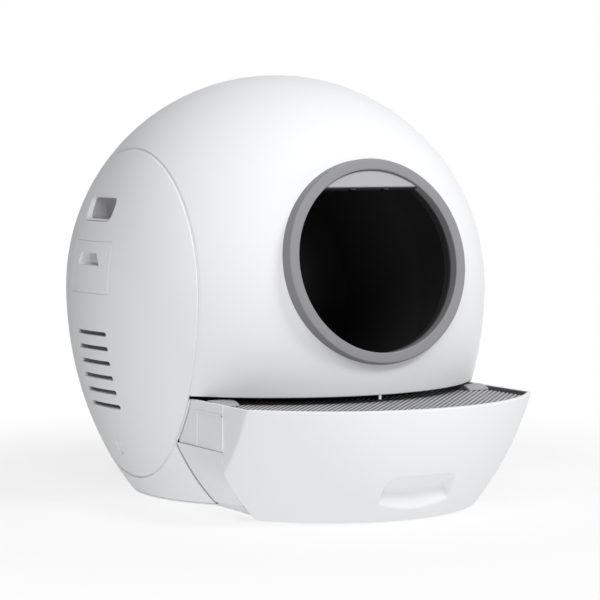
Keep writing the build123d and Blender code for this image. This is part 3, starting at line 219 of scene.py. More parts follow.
@dataclass
class Patch:
    """A triangulated surface with a normal at every point."""

    points: Points
    normals: Points
    tris: Points

    @staticmethod
    def from_grid(points: Points, normals: Points | None = None, outward: Points | None = None) -> "Patch":
        """Makes a patch of a grid of points.

        Args:
            points: Grid of shape (rows, columns, 3).
            normals: Normals of the same shape; by default the cross product of the grid's two directions.
            outward: A rough outward direction for the worked-out normals.

        Returns:
            The patch, its triangles turned to face along the normals.
        """
        if normals is None:
            normals = unit(np.cross(np.gradient(points, axis=0), np.gradient(points, axis=1)))
            if outward is not None and np.sum(normals @ outward) < 0:
                normals = -normals
        rows, columns = points.shape[:2]
        index = np.arange(rows * columns).reshape(rows, columns)
        a, b = index[:-1, :-1].ravel(), index[:-1, 1:].ravel()
        c, d = index[1:, 1:].ravel(), index[1:, :-1].ravel()
        tris = np.concatenate([np.stack([a, b, c], 1), np.stack([a, c, d], 1)])
        flat = points.reshape(-1, 3)
        facing = np.cross(flat[tris[:, 1]] - flat[tris[:, 0]], flat[tris[:, 2]] - flat[tris[:, 0]])
        if np.sum(facing * normals.reshape(-1, 3)[tris[:, 0]]) < 0:
            tris = tris[:, ::-1]
        return Patch(flat, unit(normals.reshape(-1, 3)), tris)

    @staticmethod
    def sheet(x: Points, y: Points, z: Points, outward: Points) -> "Patch":
        """Patch over three grids of coordinates that faces roughly along a direction."""
        return Patch.from_grid(np.stack([x, y, z], axis=-1), outward=outward)

    def clipped(self, keep: Field) -> "Patch":
        """The part of the patch where a signed field is positive, cut along the field's zero line.

        Args:
            keep: Gives a value at each point; cut edges are placed where it passes zero.

        Returns:
            The smaller patch.
        """
        value = keep(self.points)
        within = value[self.tris] > 0
        count = within.sum(1)
        one = self._odd_first(self.tris[count == 1], within[count == 1])
        two = self._odd_first(self.tris[count == 2], ~within[count == 2])
        edges = np.concatenate([one[:, [0, 1]], one[:, [0, 2]], two[:, [0, 1]], two[:, [0, 2]]])
        pairs, place = np.unique(np.sort(edges, 1), axis=0, return_inverse=True)
        start, end = pairs[:, 0], pairs[:, 1]
        share = (value[start] / (value[start] - value[end]))[:, None]

        def with_cuts(values: Points) -> Points:
            """Values at the points, followed by those where the cut edges pass zero."""
            return np.concatenate([values, values[start] * (1 - share) + values[end] * share])

        points, normals = with_cuts(self.points), unit(with_cuts(self.normals))
        place = place.reshape(-1) + len(self.points)
        ab1, ac1, ab2, ac2 = np.split(place, [len(one), 2 * len(one), 2 * len(one) + len(two)])
        tris = np.concatenate([
            self.tris[count == 3],
            np.stack([one[:, 0], ab1, ac1], 1),
            np.stack([ab2, two[:, 1], two[:, 2]], 1),
            np.stack([ab2, two[:, 2], ac2], 1),
        ])
        used, compact = np.unique(tris, return_inverse=True)
        return Patch(points[used], normals[used], compact.reshape(-1, 3))

    @staticmethod
    def _odd_first(tris: Points, odd: Points) -> Points:
        """Triangles turned so that the marked corner comes first."""
        first = odd.argmax(1)[:, None] if len(tris) else np.zeros((0, 1), int)
        return np.take_along_axis(tris, (first + np.arange(3)) % 3, axis=1)

    def border(self) -> Points:
        """Edges with a triangle on one side only, as (from, to) in that triangle's order.

        Returns:
            Rows of index pairs.
        """
        edges = np.concatenate([self.tris[:, [0, 1]], self.tris[:, [1, 2]], self.tris[:, [2, 0]]])
        size = len(self.points)
        return edges[~np.isin(edges[:, 0] * size + edges[:, 1], edges[:, 1] * size + edges[:, 0])]

    def sunk(self, depth: float) -> "Patch":
        """The patch moved inwards along its normals."""
        return Patch(self.points - self.normals * depth, self.normals, self.tris)

    def shell(self, roll: Union[float, Field], depth: float, steps: int = 4) -> Solid:
        """Closed wall: the patch, a quarter-round edge out of its border, a straight edge and an inner face.

        Args:
            roll: Radius of the rolled edge, or a function of the border's points that gives it.
            depth: Wall thickness.
            steps: Segments of the quarter round.

        Returns:
            The wall as a solid.
        """
        solid = Solid()
        first = solid.add_points(self.points)
        solid.add_faces(self.tris + first, self.normals[self.tris])
        edges = self.border()
        rim, place = np.unique(edges, return_inverse=True)
        place = place.reshape(-1, 2)
        points, normals = self.points[rim], self.normals[rim]
        along = unit(points[place[:, 1]] - points[place[:, 0]])
        sideways = unit(np.cross(along, normals[place[:, 0]] + normals[place[:, 1]]))
        total = np.zeros_like(points)
        np.add.at(total, place[:, 0], sideways)
        np.add.at(total, place[:, 1], sideways)
        length = np.maximum(np.linalg.norm(total, axis=1, keepdims=True), 0.8)
        out = unit(total)
        mitre = out * (2.0 / length)
        radius = (roll(points) if callable(roll) else np.full(len(points), roll))[:, None]
        ring, ring_normals = edges, self.normals[edges]
        for angle in np.linspace(0, np.pi / 2, steps + 1)[1:]:
            place_now = points + mitre * radius * np.sin(angle) - normals * radius * (1 - np.cos(angle))
            normal_now = (normals * np.cos(angle) + out * np.sin(angle))[place]
            ring_now = solid.add_points(place_now) + place
            solid.add_strip(ring, ring_now, ring_normals, normal_now)
            ring, ring_normals = ring_now, normal_now
        deep = solid.add_points(points + mitre * radius - normals * depth) + place
        solid.add_strip(ring, deep, out[place], out[place])
        inner = solid.add_points(self.points - self.normals * depth)
        solid.add_strip(deep, inner + edges, -normals[place], -normals[place])
        solid.add_faces(self.tris[:, ::-1] + inner, -self.normals[self.tris[:, ::-1]])
        return solid


def fillet(corners: list[Pair], radii: Sequence[float], steps: int = 5) -> Points:
    """Closed outline with rounded corners.

    Args:
        corners: Corner points in order.
        radii: Rounding radius of each corner.
        steps: Segments of each rounding.

    Returns:
        Points of the outline: each rounding is an arc tangent to both edges.
    """
    out = []
    ring = np.array(corners, float)
    for index, radius in enumerate(radii):
        here = ring[index]
        back = unit(ring[index - 1] - here)
        ahead = unit(ring[(index + 1) % len(ring)] - here)
        half = np.arccos(np.clip(back @ ahead, -1, 1)) / 2
        reach = radius / np.tan(half)
        middle = here + unit(back + ahead) * radius / np.sin(half)
        share = np.linspace(0, 1, steps + 1)[:, None]
        arc = (here + back * reach) * (1 - share) + (here + ahead * reach) * share - middle
        out.append(middle + unit(arc) * radius)
    return np.concatenate(out)


def outline_normals(outline: Points) -> Points:
    """Outward normals of a closed outline given anticlockwise: the mean of each point's two edges.

    Args:
        outline: Points of the outline.

    Returns:
        A normal for each point.
    """
    edge = unit(np.roll(outline, -1, axis=0) - outline)
    turn = np.stack([edge[:, 1], -edge[:, 0]], axis=1)
    return unit(turn + np.roll(turn, 1, axis=0))


def tube_grid(points: Points, normals: Points, closed_path: bool) -> Solid:
    """Skin over a closed outline carried along a path.

    Args:
        points: Grid of shape (path steps, outline points, 3).
        normals: Outward normals of the same shape.
        closed_path: True joins the path's end to its start; otherwise both ends are closed with a fan.

    Returns:
        The closed skin.
    """
    solid = Solid()
    rows, columns = points.shape[:2]
    first = solid.add_points(points)
    index = np.arange(rows * columns).reshape(rows, columns)
    ahead = np.roll(index, -1, axis=0) if closed_path else index[1:]
    here = index if closed_path else index[:-1]
    corners = [here, np.roll(here, -1, axis=1), np.roll(ahead, -1, axis=1), ahead]
    faces = np.stack([c.ravel() for c in corners], axis=1)
    flat, flat_normals = points.reshape(-1, 3), normals.reshape(-1, 3)
    facing = np.cross(flat[faces[:, 1]] - flat[faces[:, 0]], flat[faces[:, 3]] - flat[faces[:, 0]])
    turned = np.sum(facing * flat_normals[faces[:, 0]]) < 0
    faces = faces[:, ::-1] if turned else faces
    solid.add_faces(faces + first, flat_normals[faces])
    if not closed_path:
        for row, next_row in ((0, 1), (rows - 1, rows - 2)):
            middle = points[row].mean(0)
            out = unit(middle - points[next_row].mean(0))
            ahead = np.roll(points[row], -1, axis=0)
            hub = solid.add_points(middle)
            ring = index[row] + first
            fan = np.stack([ring, np.roll(ring, -1), np.full(columns, hub)], axis=1)
            if np.sum(np.cross(ahead - points[row], middle - points[row]) @ out) < 0:
                fan = fan[:, ::-1]
            solid.add_faces(fan, np.broadcast_to(out, (columns, 3, 3)))
    return solid


def prism(outline: Points, start: float, end: float, axis: int = 0) -> Solid:
    """Outline carried straight along an axis.

    Args:
        outline: Closed outline, anticlockwise in the two other axes.
        start: Place of one face.
        end: Place of the other face.
        axis: Number of the axis.

    Returns:
        The closed solid.
    """
    others = [number for number in range(3) if number != axis]
    points = np.zeros((2, len(outline), 3))
    points[..., axis] = np.array([[start], [end]])
    points[..., others] = outline
    normals = np.zeros_like(points)
    normals[..., others] = outline_normals(outline)
    return tube_grid(points, normals, False)


def oblong(low: Pair, high: Pair, corner: float, steps: int = 4) -> Points:
    """Rounded rectangle between two corners."""
    return fillet([low, (high[0], low[1]), high, (low[0], high[1])], [corner] * 4, steps)


def put_mesh(name: str, solid: Solid, body: str, replaced: tuple[str, ...]) -> bpy.types.Object:
    """Writes a solid to a mesh object in the shared frame and lets it ride on a body.

    Args:
        name: Piece name.
        solid: Its points and faces in millimetres.
        body: CAD body that carries it.
        replaced: CAD nodes it stands for.

    Returns:
        The new object.
    """
    mesh = bpy.data.meshes.new(name)
    points = (np.concatenate(solid.points) + np.array([0.0, FRAME_SHIFT_Y, 0.0])) / 1000.0
    corners = np.concatenate([faces.ravel() for faces in solid.faces])
    sizes = np.concatenate([np.full(len(faces), faces.shape[1]) for faces in solid.faces])
    normals = np.concatenate([normals.reshape(-1, 3) for normals in solid.normals])
    mesh.vertices.add(len(points))
    mesh.vertices.foreach_set("co", points.astype(np.float32).ravel())
    mesh.loops.add(len(corners))
    mesh.loops.foreach_set("vertex_index", corners.astype(np.int32))
    mesh.polygons.add(len(sizes))
    mesh.polygons.foreach_set("loop_start", (np.cumsum(sizes) - sizes).astype(np.int32))
    mesh.polygons.foreach_set("use_smooth", np.ones(len(sizes), bool))
    mesh.update(calc_edges=True)
    mesh.normals_split_custom_set(normals.astype(np.float32))
    piece = bpy.data.objects.new(name, mesh)
    bpy.context.scene.collection.objects.link(piece)
    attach(piece, body)
    if replaced:
        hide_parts(*replaced)
    LOG.info("piece %s: %d points, %d faces", name, len(points), len(sizes))
    return piece


Value = Union["Sock", float]


class Sock:
    """A value socket whose operators add Math nodes to its tree."""

    def __init__(self, tree: "Tree", socket: bpy.types.NodeSocket) -> None:
        """Wraps an output socket."""
        self.tree = tree
        self.socket = socket

    def _math(self, operation: str, first: Value, second: Value) -> "Sock":
        """One Math node on two values."""
        return self.tree.node("ShaderNodeMath", {"operation": operation}, {0: first, 1: second})[0]

    def __add__(self, other: Value) -> "Sock":
        """Sum."""
        return self._math("ADD", self, other)

    def __sub__(self, other: Value) -> "Sock":
        """Difference."""
        return self._math("SUBTRACT", self, other)

    def __rsub__(self, other: Value) -> "Sock":
        """Difference from a number."""
        return self._math("SUBTRACT", other, self)

    def __mul__(self, other: Value) -> "Sock":
        """Product."""
        return self._math("MULTIPLY", self, other)

    def at_most(self, other: Value) -> "Sock":
        """Smaller of two values."""
        return self._math("MINIMUM", self, other)

    def at_least(self, other: Value) -> "Sock":
        """Larger of two values."""
        return self._math("MAXIMUM", self, other)


class Tree:
    """Builds a node tree from one generic node method."""

    def __init__(self, tree: bpy.types.NodeTree) -> None:
        """Starts from an empty tree."""
        self.tree = tree
        tree.nodes.clear()

    def node(self, kind: str, settings: dict, inputs: dict) -> list[Sock]:
        """Adds one node.

        Args:
            kind: Node type name.
            settings: Properties set before the sockets.
            inputs: Values or sockets by input name or number.

        Returns:
            The node's outputs.
        """
        made = self.tree.nodes.new(kind)
        for key, value in settings.items():
            setattr(made, key, value)
        for key, value in inputs.items():
            if isinstance(value, Sock):
                self.tree.links.new(value.socket, made.inputs[key])
            else:
                made.inputs[key].default_value = value
        return [Sock(self, socket) for socket in made.outputs]

    def place(self) -> Sock:
        """Object coordinates."""
        return self.node("ShaderNodeTexCoord", {}, {})[3]

    def noise(self, where: Sock, scale: float, detail: float = 2.0) -> Sock:
        """Noise value of about 0 to 1."""
        return self.node("ShaderNodeTexNoise", {}, {"Vector": where, "Scale": scale, "Detail": detail})[0]

    def mix(self, share: Value, first: tuple, second: tuple) -> Sock:
        """Colour between two colours."""
        return self.node("ShaderNodeMix", {"data_type": "RGBA"}, {0: share, 6: first, 7: second})[2]


Colour = Triple


def opaque(colour: Colour, factor: float = 1.0) -> tuple:
    """Colour with an alpha of 1, made lighter or darker by a factor."""
    return (*(min(1.0, channel * factor) for channel in colour), 1.0)


@dataclass(frozen=True)
class Finish:
    """Moulded surface: fine grain, faint mottling of colour and gloss that varies a little.

    Attributes:
        colour: Base colour.
        roughness: Middle roughness.
        metallic: Metal share.
        mottle: Share by which the colour varies.
        grain_scale: Grain cells per metre.
        grain_depth: Bump height in metres.
        grain_strength: Bump strength.
        stretch: Scale of the grain along X, Y and Z, for brushed or drawn surfaces.
        coat: Clear coat weight.
        gloss_spread: Range of roughness over the surface.
        shine: Level of the mirror-like share at a grazing view.
        cloud_scale: Cells per metre of the slow mottling.
        speck_ratio: Scale of the specks as a share of the grain's.
        coat_roughness: Roughness of the clear coat.
    """

    colour: Colour
    roughness: float = 0.42
    metallic: float = 0.0
    mottle: float = 0.03
    grain_scale: float = 900.0
    grain_depth: float = 0.00004
    grain_strength: float = 0.25
    stretch: Triple = (1.0, 1.0, 1.0)
    coat: float = 0.0
    gloss_spread: float = 0.10
    shine: float = 0.5
    cloud_scale: float = 14.0
    speck_ratio: float = 0.22
    coat_roughness: float = 0.12

    def build(self, name: str) -> bpy.types.Material:
        """Makes the material.

        Args:
            name: Material name.

        Returns:
            The material with its node tree.
        """
        material = bpy.data.materials.new(name)
        material.use_nodes = True
        tree = Tree(material.node_tree)
        place = tree.place()
        drawn = tree.node("ShaderNodeMapping", {}, {"Vector": place, "Scale": self.stretch})[0]
        cloud = tree.noise(place, self.cloud_scale, 3.0)
        grain = tree.noise(drawn, self.grain_scale, 2.0)
        speck = tree.noise(drawn, self.grain_scale * self.speck_ratio, 3.0)
        share = (cloud * 0.6 + speck * 0.4).at_least(0.0).at_most(1.0)
        dark, light = (opaque(self.colour, 1.0 + way * self.mottle) for way in (-1, 1))
        rough_from = self.roughness - self.gloss_spread / 2
        bump = tree.node("ShaderNodeBump", {}, {
            "Height": grain * 0.7 + speck * 0.3, "Strength": self.grain_strength,
            "Distance": self.grain_depth})[0]
        shader = tree.node("ShaderNodeBsdfPrincipled", {}, {
            "Base Color": tree.mix(share, dark, light),
            "Roughness": (cloud * 0.5 + grain * 0.5) * self.gloss_spread + rough_from,
            "Metallic": self.metallic, "Normal": bump, "Coat Weight": self.coat,
            "Coat Roughness": self.coat_roughness, "Specular IOR Level": self.shine})[0]
        tree.node("ShaderNodeOutputMaterial", {}, {"Surface": shader})
        return material


class Look(Enum):
    """Every finish on the machine, and the painted shades that darken its grip pockets, latch tongue, fan
    shroud and the mat's rib valleys; each value is its own Finish.
    """

    WHITE = Finish((0.80, 0.805, 0.815), roughness=0.55, mottle=0.012, grain_scale=1100.0, shine=0.10)
    RING_GREY = Finish((0.225, 0.222, 0.235), roughness=0.46, mottle=0.03, shine=0.35)
    VISOR_GREY = Finish((0.35, 0.347, 0.364), roughness=0.50, mottle=0.02, shine=0.35)
    # Painted shade: the grip pocket's inside is the white plastic darkened to stand in for the shade inside
    # the pocket.
    GRIP_GREY = Finish((0.36, 0.358, 0.372), roughness=0.52, mottle=0.02, shine=0.35)
    # Painted shade: a darker copy of the white plastic for the latch tongue in its pocket and the fan shroud
    # seen through the vents.
    POCKET_GREY = Finish((0.56, 0.565, 0.58), roughness=0.48, mottle=0.02)
    DRUM = Finish((0.044, 0.044, 0.046), roughness=0.50, mottle=0.08)
    BLACK = Finish((0.020, 0.020, 0.021), roughness=0.55, mottle=0.08)
    MAT = Finish((0.40, 0.399, 0.408), roughness=0.62, mottle=0.06, grain_scale=1500.0, grain_strength=0.4)
    # Painted shade: a dark sheet below the rib tops that darkens the valleys between the mat's ribs.
    MAT_BASE = Finish((0.105, 0.105, 0.108), roughness=0.60, mottle=0.06)
    MAT_EDGE = Finish((0.055, 0.055, 0.057), roughness=0.60, mottle=0.06)
    RUBBER = Finish((0.026, 0.026, 0.027), roughness=0.75, mottle=0.10, grain_strength=0.4)
    ACETAL = Finish((0.70, 0.69, 0.64), roughness=0.38, mottle=0.02)
    STEEL = Finish((0.52, 0.53, 0.55), roughness=0.34, metallic=1.0, mottle=0.05, stretch=(1.0, 0.05, 1.0))
    BOARD = Finish((0.012, 0.085, 0.040), roughness=0.36, mottle=0.14, grain_scale=600.0)
    LENS = Finish((0.010, 0.010, 0.014), roughness=0.10, mottle=0.10, gloss_spread=0.04, coat=0.5)
    PAD = Finish((0.26, 0.44, 0.38), roughness=0.60, mottle=0.08, grain_scale=500.0)


class Finishes:
    """Makes each look's material once."""

    def __init__(self) -> None:
        """Starts with none made."""
        self.made: dict[Look, bpy.types.Material] = {}

    def dress(self, piece: bpy.types.Object, look: Look) -> None:
        """Gives a piece one look.

        Args:
            piece: Object to dress.
            look: Its look.
        """
        if look not in self.made:
            self.made[look] = look.value.build(look.name.lower())
        piece.data.materials.clear()
        piece.data.materials.append(self.made[look])

    def put(self, name: str, solid: Solid, look: Look, replaced: tuple[str, ...] = (),
            body: str = "housing") -> None:
        """Writes a solid as a piece and gives it its look; the other arguments are put_mesh's."""
        self.dress(put_mesh(name, solid, body, replaced), look)


@dataclass
class Globe:
    """The globe that all the shells are cut from: a ball above its middle and a longer half egg below."""

    radius: float = 280.0
    lower: float = 373.0
    centre_z: float = 273.6
    base_z: float = 3.0
    wall: float = 4.0
    seam: float = 0.8
    side_seam: float = 212.0
    rear_seam_y: float = 140.0
    slit_y: float = -118.0
    front_edge_z: float = 149.3
    tilt: float = np.radians(9.45)
    far: float = 1000.0

    def half_height(self, rise: Points) -> Points:
        """Half height of the globe on the side of its middle that a rise lies on."""
        return np.where(rise >= 0, self.radius, self.lower)

    def radius_at(self, z: Points) -> Points:
        """Radius at a height: an ellipse's half width."""
        rise = np.asarray(z, float) - self.centre_z
        return self.radius * np.sqrt(np.maximum(1 - (rise / self.half_height(rise)) ** 2, 0))

    def normals(self, points: Points) -> Points:
        """Outward normals: the gradient of the ellipse's equation.

        Args:
            points: Points on the globe.

        Returns:
            Normals of the same shape.
        """
        rise = points[..., 2] - self.centre_z
        half = self.half_height(rise)
        return unit(np.stack([points[..., 0] / self.radius ** 2, points[..., 1] / self.radius ** 2,
                              rise / half ** 2], axis=-1))

    def band(self, xs: Points, turns: Points) -> Patch:
        """Middle of the globe over X and the turn about X: a line of one X is half a circle above and half
        an ellipse below.

        Args:
            xs: Grid lines in X.
            turns: Grid lines in the turn, in radians.

        Returns:
            The patch.
        """
        x, turn = np.meshgrid(xs, turns)
        reach = np.sqrt(self.radius ** 2 - x ** 2)
        rise = np.sin(turn)
        stretch = np.where(rise >= 0, 1.0, self.lower / self.radius)
        points = np.stack([x, reach * np.cos(turn), self.centre_z + stretch * reach * rise], axis=-1)
        return Patch.from_grid(points, self.normals(points))

    def cap(self, side: int, ys: Points, zs: Points) -> Patch:
        """One side of the globe as a height over a grid of Y and Z.

        Args:
            side: -1 for the left, 1 for the right.
            ys: Grid lines in Y.
            zs: Grid lines in Z.

        Returns:
            The patch.
        """
        y, z = np.meshgrid(ys, zs)
        points = np.stack([side * self.cap_reach(y, z), y, z], axis=-1)
        return Patch.from_grid(points, self.normals(points))

    def cap_reach(self, y: Points, z: Points) -> Points:
        """Distance of the globe's side from the middle plane at a place seen from the side."""
        return np.sqrt(np.maximum(self.radius_at(z) ** 2 - np.asarray(y, float) ** 2, 0))

    def above_axis(self, points: Points) -> Points:
        """Height over the entry's axis, square to it."""
        return points[..., 1] * np.sin(self.tilt) + (points[..., 2] - self.centre_z) * np.cos(self.tilt)

    def from_axis(self, points: Points) -> Points:
        """Distance from the entry's axis, for points ahead of the middle; far for those behind it."""
        along = (points[..., 2] - self.centre_z) * np.sin(self.tilt) - points[..., 1] * np.cos(self.tilt)
        return np.where(along > 0, np.hypot(points[..., 0], self.above_axis(points)), self.far)

    def along_axis(self, x: Points, up: Points, along: Points) -> Points:
        """Points given by their place across, above and along the entry's axis.

        Args:
            x: Places across the axis.
            up: Places above it.
            along: Places along it.

        Returns:
            The points.
        """
        y = up * np.sin(self.tilt) - along * np.cos(self.tilt)
        z = self.centre_z + up * np.cos(self.tilt) + along * np.sin(self.tilt)
        return np.stack([x, y, z], axis=-1)


@dataclass
class MainShells:
    """Front and rear shells of the globe."""

    globe: Globe
    hole: float = 122.0
    seam_roll: float = 0.7
    edge_roll: float = 1.8
    edge_near: float = 0.6
    step: float = 4.0
    foot: float = 2.0
    front_turns: Pair = (214.0, 26.0)
    rear_turns: Pair = (64.0, -138.0)
    tick_half: float = 1.5
    tick_back: Pair = (0.9, 3.4)
    tick_corner: float = 0.5
    tick_drop: float = 5.0
    tick_root: float = 1.5
    slit_spare: float = 0.9
    tab_x: Pair = (209.7, 210.9)
    tab_z: Pair = (82.0, 145.0)
    tab_back: float = 0.6
    tab_width: float = 18.0
    tab_steps: int = 24
    lining_half: float = 4.0
    lining_depth: float = 1.9
    lining_wall: float = 1.0
    lining_roll: float = 0.2
    lining_foot: float = 6.0
    lining_turns: Pair = (-40.0, 75.0)
    bay_spare: float = 2.0
    cover_spare: float = 1.2

    def edge_radius(self, points: Points) -> Points:
        """Rolled edge: wide along the front cut-out and fine along the seams."""
        near = np.abs(points[:, 2] - self.globe.front_edge_z - self.edge_roll) < self.edge_near
        return np.where(near & (points[:, 1] < 0), self.edge_roll, self.seam_roll)

    def gap(self) -> float:
        """Distance from the middle of a seam to where a shell's edge begins to roll."""
        return self.globe.seam / 2 + self.seam_roll

    def between_seams(self, turns: Pair, radius: float) -> Patch:
        """Middle of the globe between the side seams.

        Args:
            turns: First and last turn about X in degrees.
            radius: Radius that sets the number of grid lines.

        Returns:
            The patch.
        """
        limit = self.globe.side_seam - self.gap()
        start, end = np.radians(turns)
        xs = np.linspace(-limit, limit, int(2 * self.globe.side_seam / self.step))
        return self.globe.band(xs, np.linspace(start, end, int(abs(end - start) * radius / self.step)))

    def front(self) -> Solid:
        """Front shell: the globe between the side seams, ahead of the rear seam and above the drawer, with
        the entry's hole and the small locating tick.

        Returns:
            The closed solid.
        """
        globe = self.globe
        patch = self.between_seams(self.front_turns, globe.radius)
        patch = patch.clipped(lambda p: p[:, 2] - globe.front_edge_z - self.edge_roll)
        patch = patch.clipped(lambda p: globe.rear_seam_y - self.gap() - p[:, 1])
        patch = patch.clipped(lambda p: globe.from_axis(p) - self.hole)
        return patch.shell(self.edge_radius, globe.wall).add(self.tick())

    def tick(self) -> Solid:
        """Small rounded tab that hangs from the middle of the front edge.

        Returns:
            The closed solid.
        """
        edge_z = self.globe.front_edge_z
        front, back = (inward - float(self.globe.radius_at(edge_z)) for inward in self.tick_back)
        outline = oblong((-self.tick_half, front), (self.tick_half, back), self.tick_corner)
        return prism(outline, edge_z - self.tick_drop, edge_z + self.tick_root, 2)

    def rear(self) -> Solid:
        """Rear shell: all behind the rear seam, and the skirt that runs forward below the side covers.

        Returns:
            The closed solid.
        """
        globe = self.globe
        patch = self.between_seams(self.rear_turns, globe.lower)
        patch = patch.clipped(lambda p: p[:, 2] - globe.base_z - self.foot - self.seam_roll)

        def kept(p: Points) -> Points:
            """Behind the rear seam, or in the skirt below the front edge's height.

            Args:
                p: Points on the globe.

            Returns:
                Values that are positive where the shell stays.
            """
            ahead = p[:, 1] - globe.slit_y - self.slit_spare - self.seam_roll
            skirt = np.minimum(ahead, globe.front_edge_z - self.seam_roll - p[:, 2])
            return np.maximum(p[:, 1] - globe.rear_seam_y - self.gap(), skirt)

        return patch.clipped(kept).shell(self.seam_roll, globe.wall)

    def lining(self, patch: Patch, seam_distance: Field) -> Solid:
        """Strip that closes a seam a little below the surface.

        Args:
            patch: Part of the globe that the seam crosses.
            seam_distance: Distance of a point from the seam.

        Returns:
            A thin strip along the seam, left out where the drawer stands.
        """
        globe = self.globe
        patch = patch.clipped(lambda p: self.lining_half - seam_distance(p))
        patch = patch.clipped(lambda p: p[:, 2] - globe.base_z - self.lining_foot)
        patch = patch.clipped(lambda p: np.maximum.reduce([
            p[:, 2] - globe.front_edge_z - self.bay_spare, p[:, 1] - globe.slit_y - self.bay_spare,
            np.abs(p[:, 0]) - globe.side_seam - self.cover_spare]))
        return patch.sunk(self.lining_depth).shell(self.lining_roll, self.lining_wall, 1)

    def bay_tab(self, side: int) -> Solid:
        """Small upright tab that closes the corner between the skirt, the cover and the drawer's wall.

        Args:
            side: -1 for the left, 1 for the right.

        Returns:
            The closed solid.
        """
        z = np.linspace(*self.tab_z, self.tab_steps)
        edge = self.tab_back - np.sqrt(self.globe.radius_at(z) ** 2 - self.globe.side_seam ** 2)
        front = np.stack([edge, z], axis=1)
        outline = np.concatenate([front + [self.tab_width, 0.0], front[::-1]])
        return prism(outline, side * self.tab_x[0], side * self.tab_x[1])

    def side_lining(self, side: int) -> Solid:
        """Strip below one side seam.

        Args:
            side: -1 for the left, 1 for the right.

        Returns:
            The closed solid.
        """
        middle = side * self.globe.side_seam
        xs = np.linspace(middle - self.lining_half - 1, middle + self.lining_half + 1, 8)
        patch = self.globe.band(xs, np.radians(np.linspace(-180, 180, 361)))
        return self.lining(patch, lambda p: np.abs(p[:, 0] - middle))

    def rear_lining(self) -> Solid:
        """Strip below the rear seam.

        Returns:
            The closed solid.
        """
        reach = self.globe.side_seam
        turns = np.radians(np.linspace(*self.lining_turns, 460))
        patch = self.globe.band(np.linspace(-reach, reach, 90), turns)
        return self.lining(patch, lambda p: np.abs(p[:, 1] - self.globe.rear_seam_y))

    def build(self, finishes: Finishes) -> None:
        """Makes and dresses both shells.

        Args:
            finishes: Maker of the materials and the pieces.
        """
        front = self.front().add(self.side_lining(-1)).add(self.side_lining(1)).add(self.rear_lining())
        rear = self.rear().add(self.bay_tab(-1)).add(self.bay_tab(1))
        finishes.put("front_shell_skin", front, Look.WHITE, ("globe_shell",))
        finishes.put("rear_shell_skin", rear, Look.WHITE, ("rear_shell",))


@dataclass(frozen=True)
class Opening:
    """Rounded rectangle in a side of the globe.

    Attributes:
        middle: Its middle as (Y, Z).
        half: Half its length and half its height.
        corner: Radius of its corners.
    """

    middle: Pair
    half: Pair
    corner: float

    def inside(self, points: Points, grow: float) -> Points:
        """Distance of points inside the outline, made larger by a margin."""
        return inside_rounded_box(points[:, 1] - self.middle[0], points[:, 2] - self.middle[1],
                                  self.half[0] + grow, self.half[1] + grow, self.corner + grow)

    def outline(self, steps: int) -> Points:
        """Points of the outline as (Y, Z), with a short straight piece left in each side."""
        (y, z), (u, v) = self.middle, self.half
        return oblong((y - u, z - v), (y + u, z + v), min(self.corner, min(u, v) - 0.1), steps)


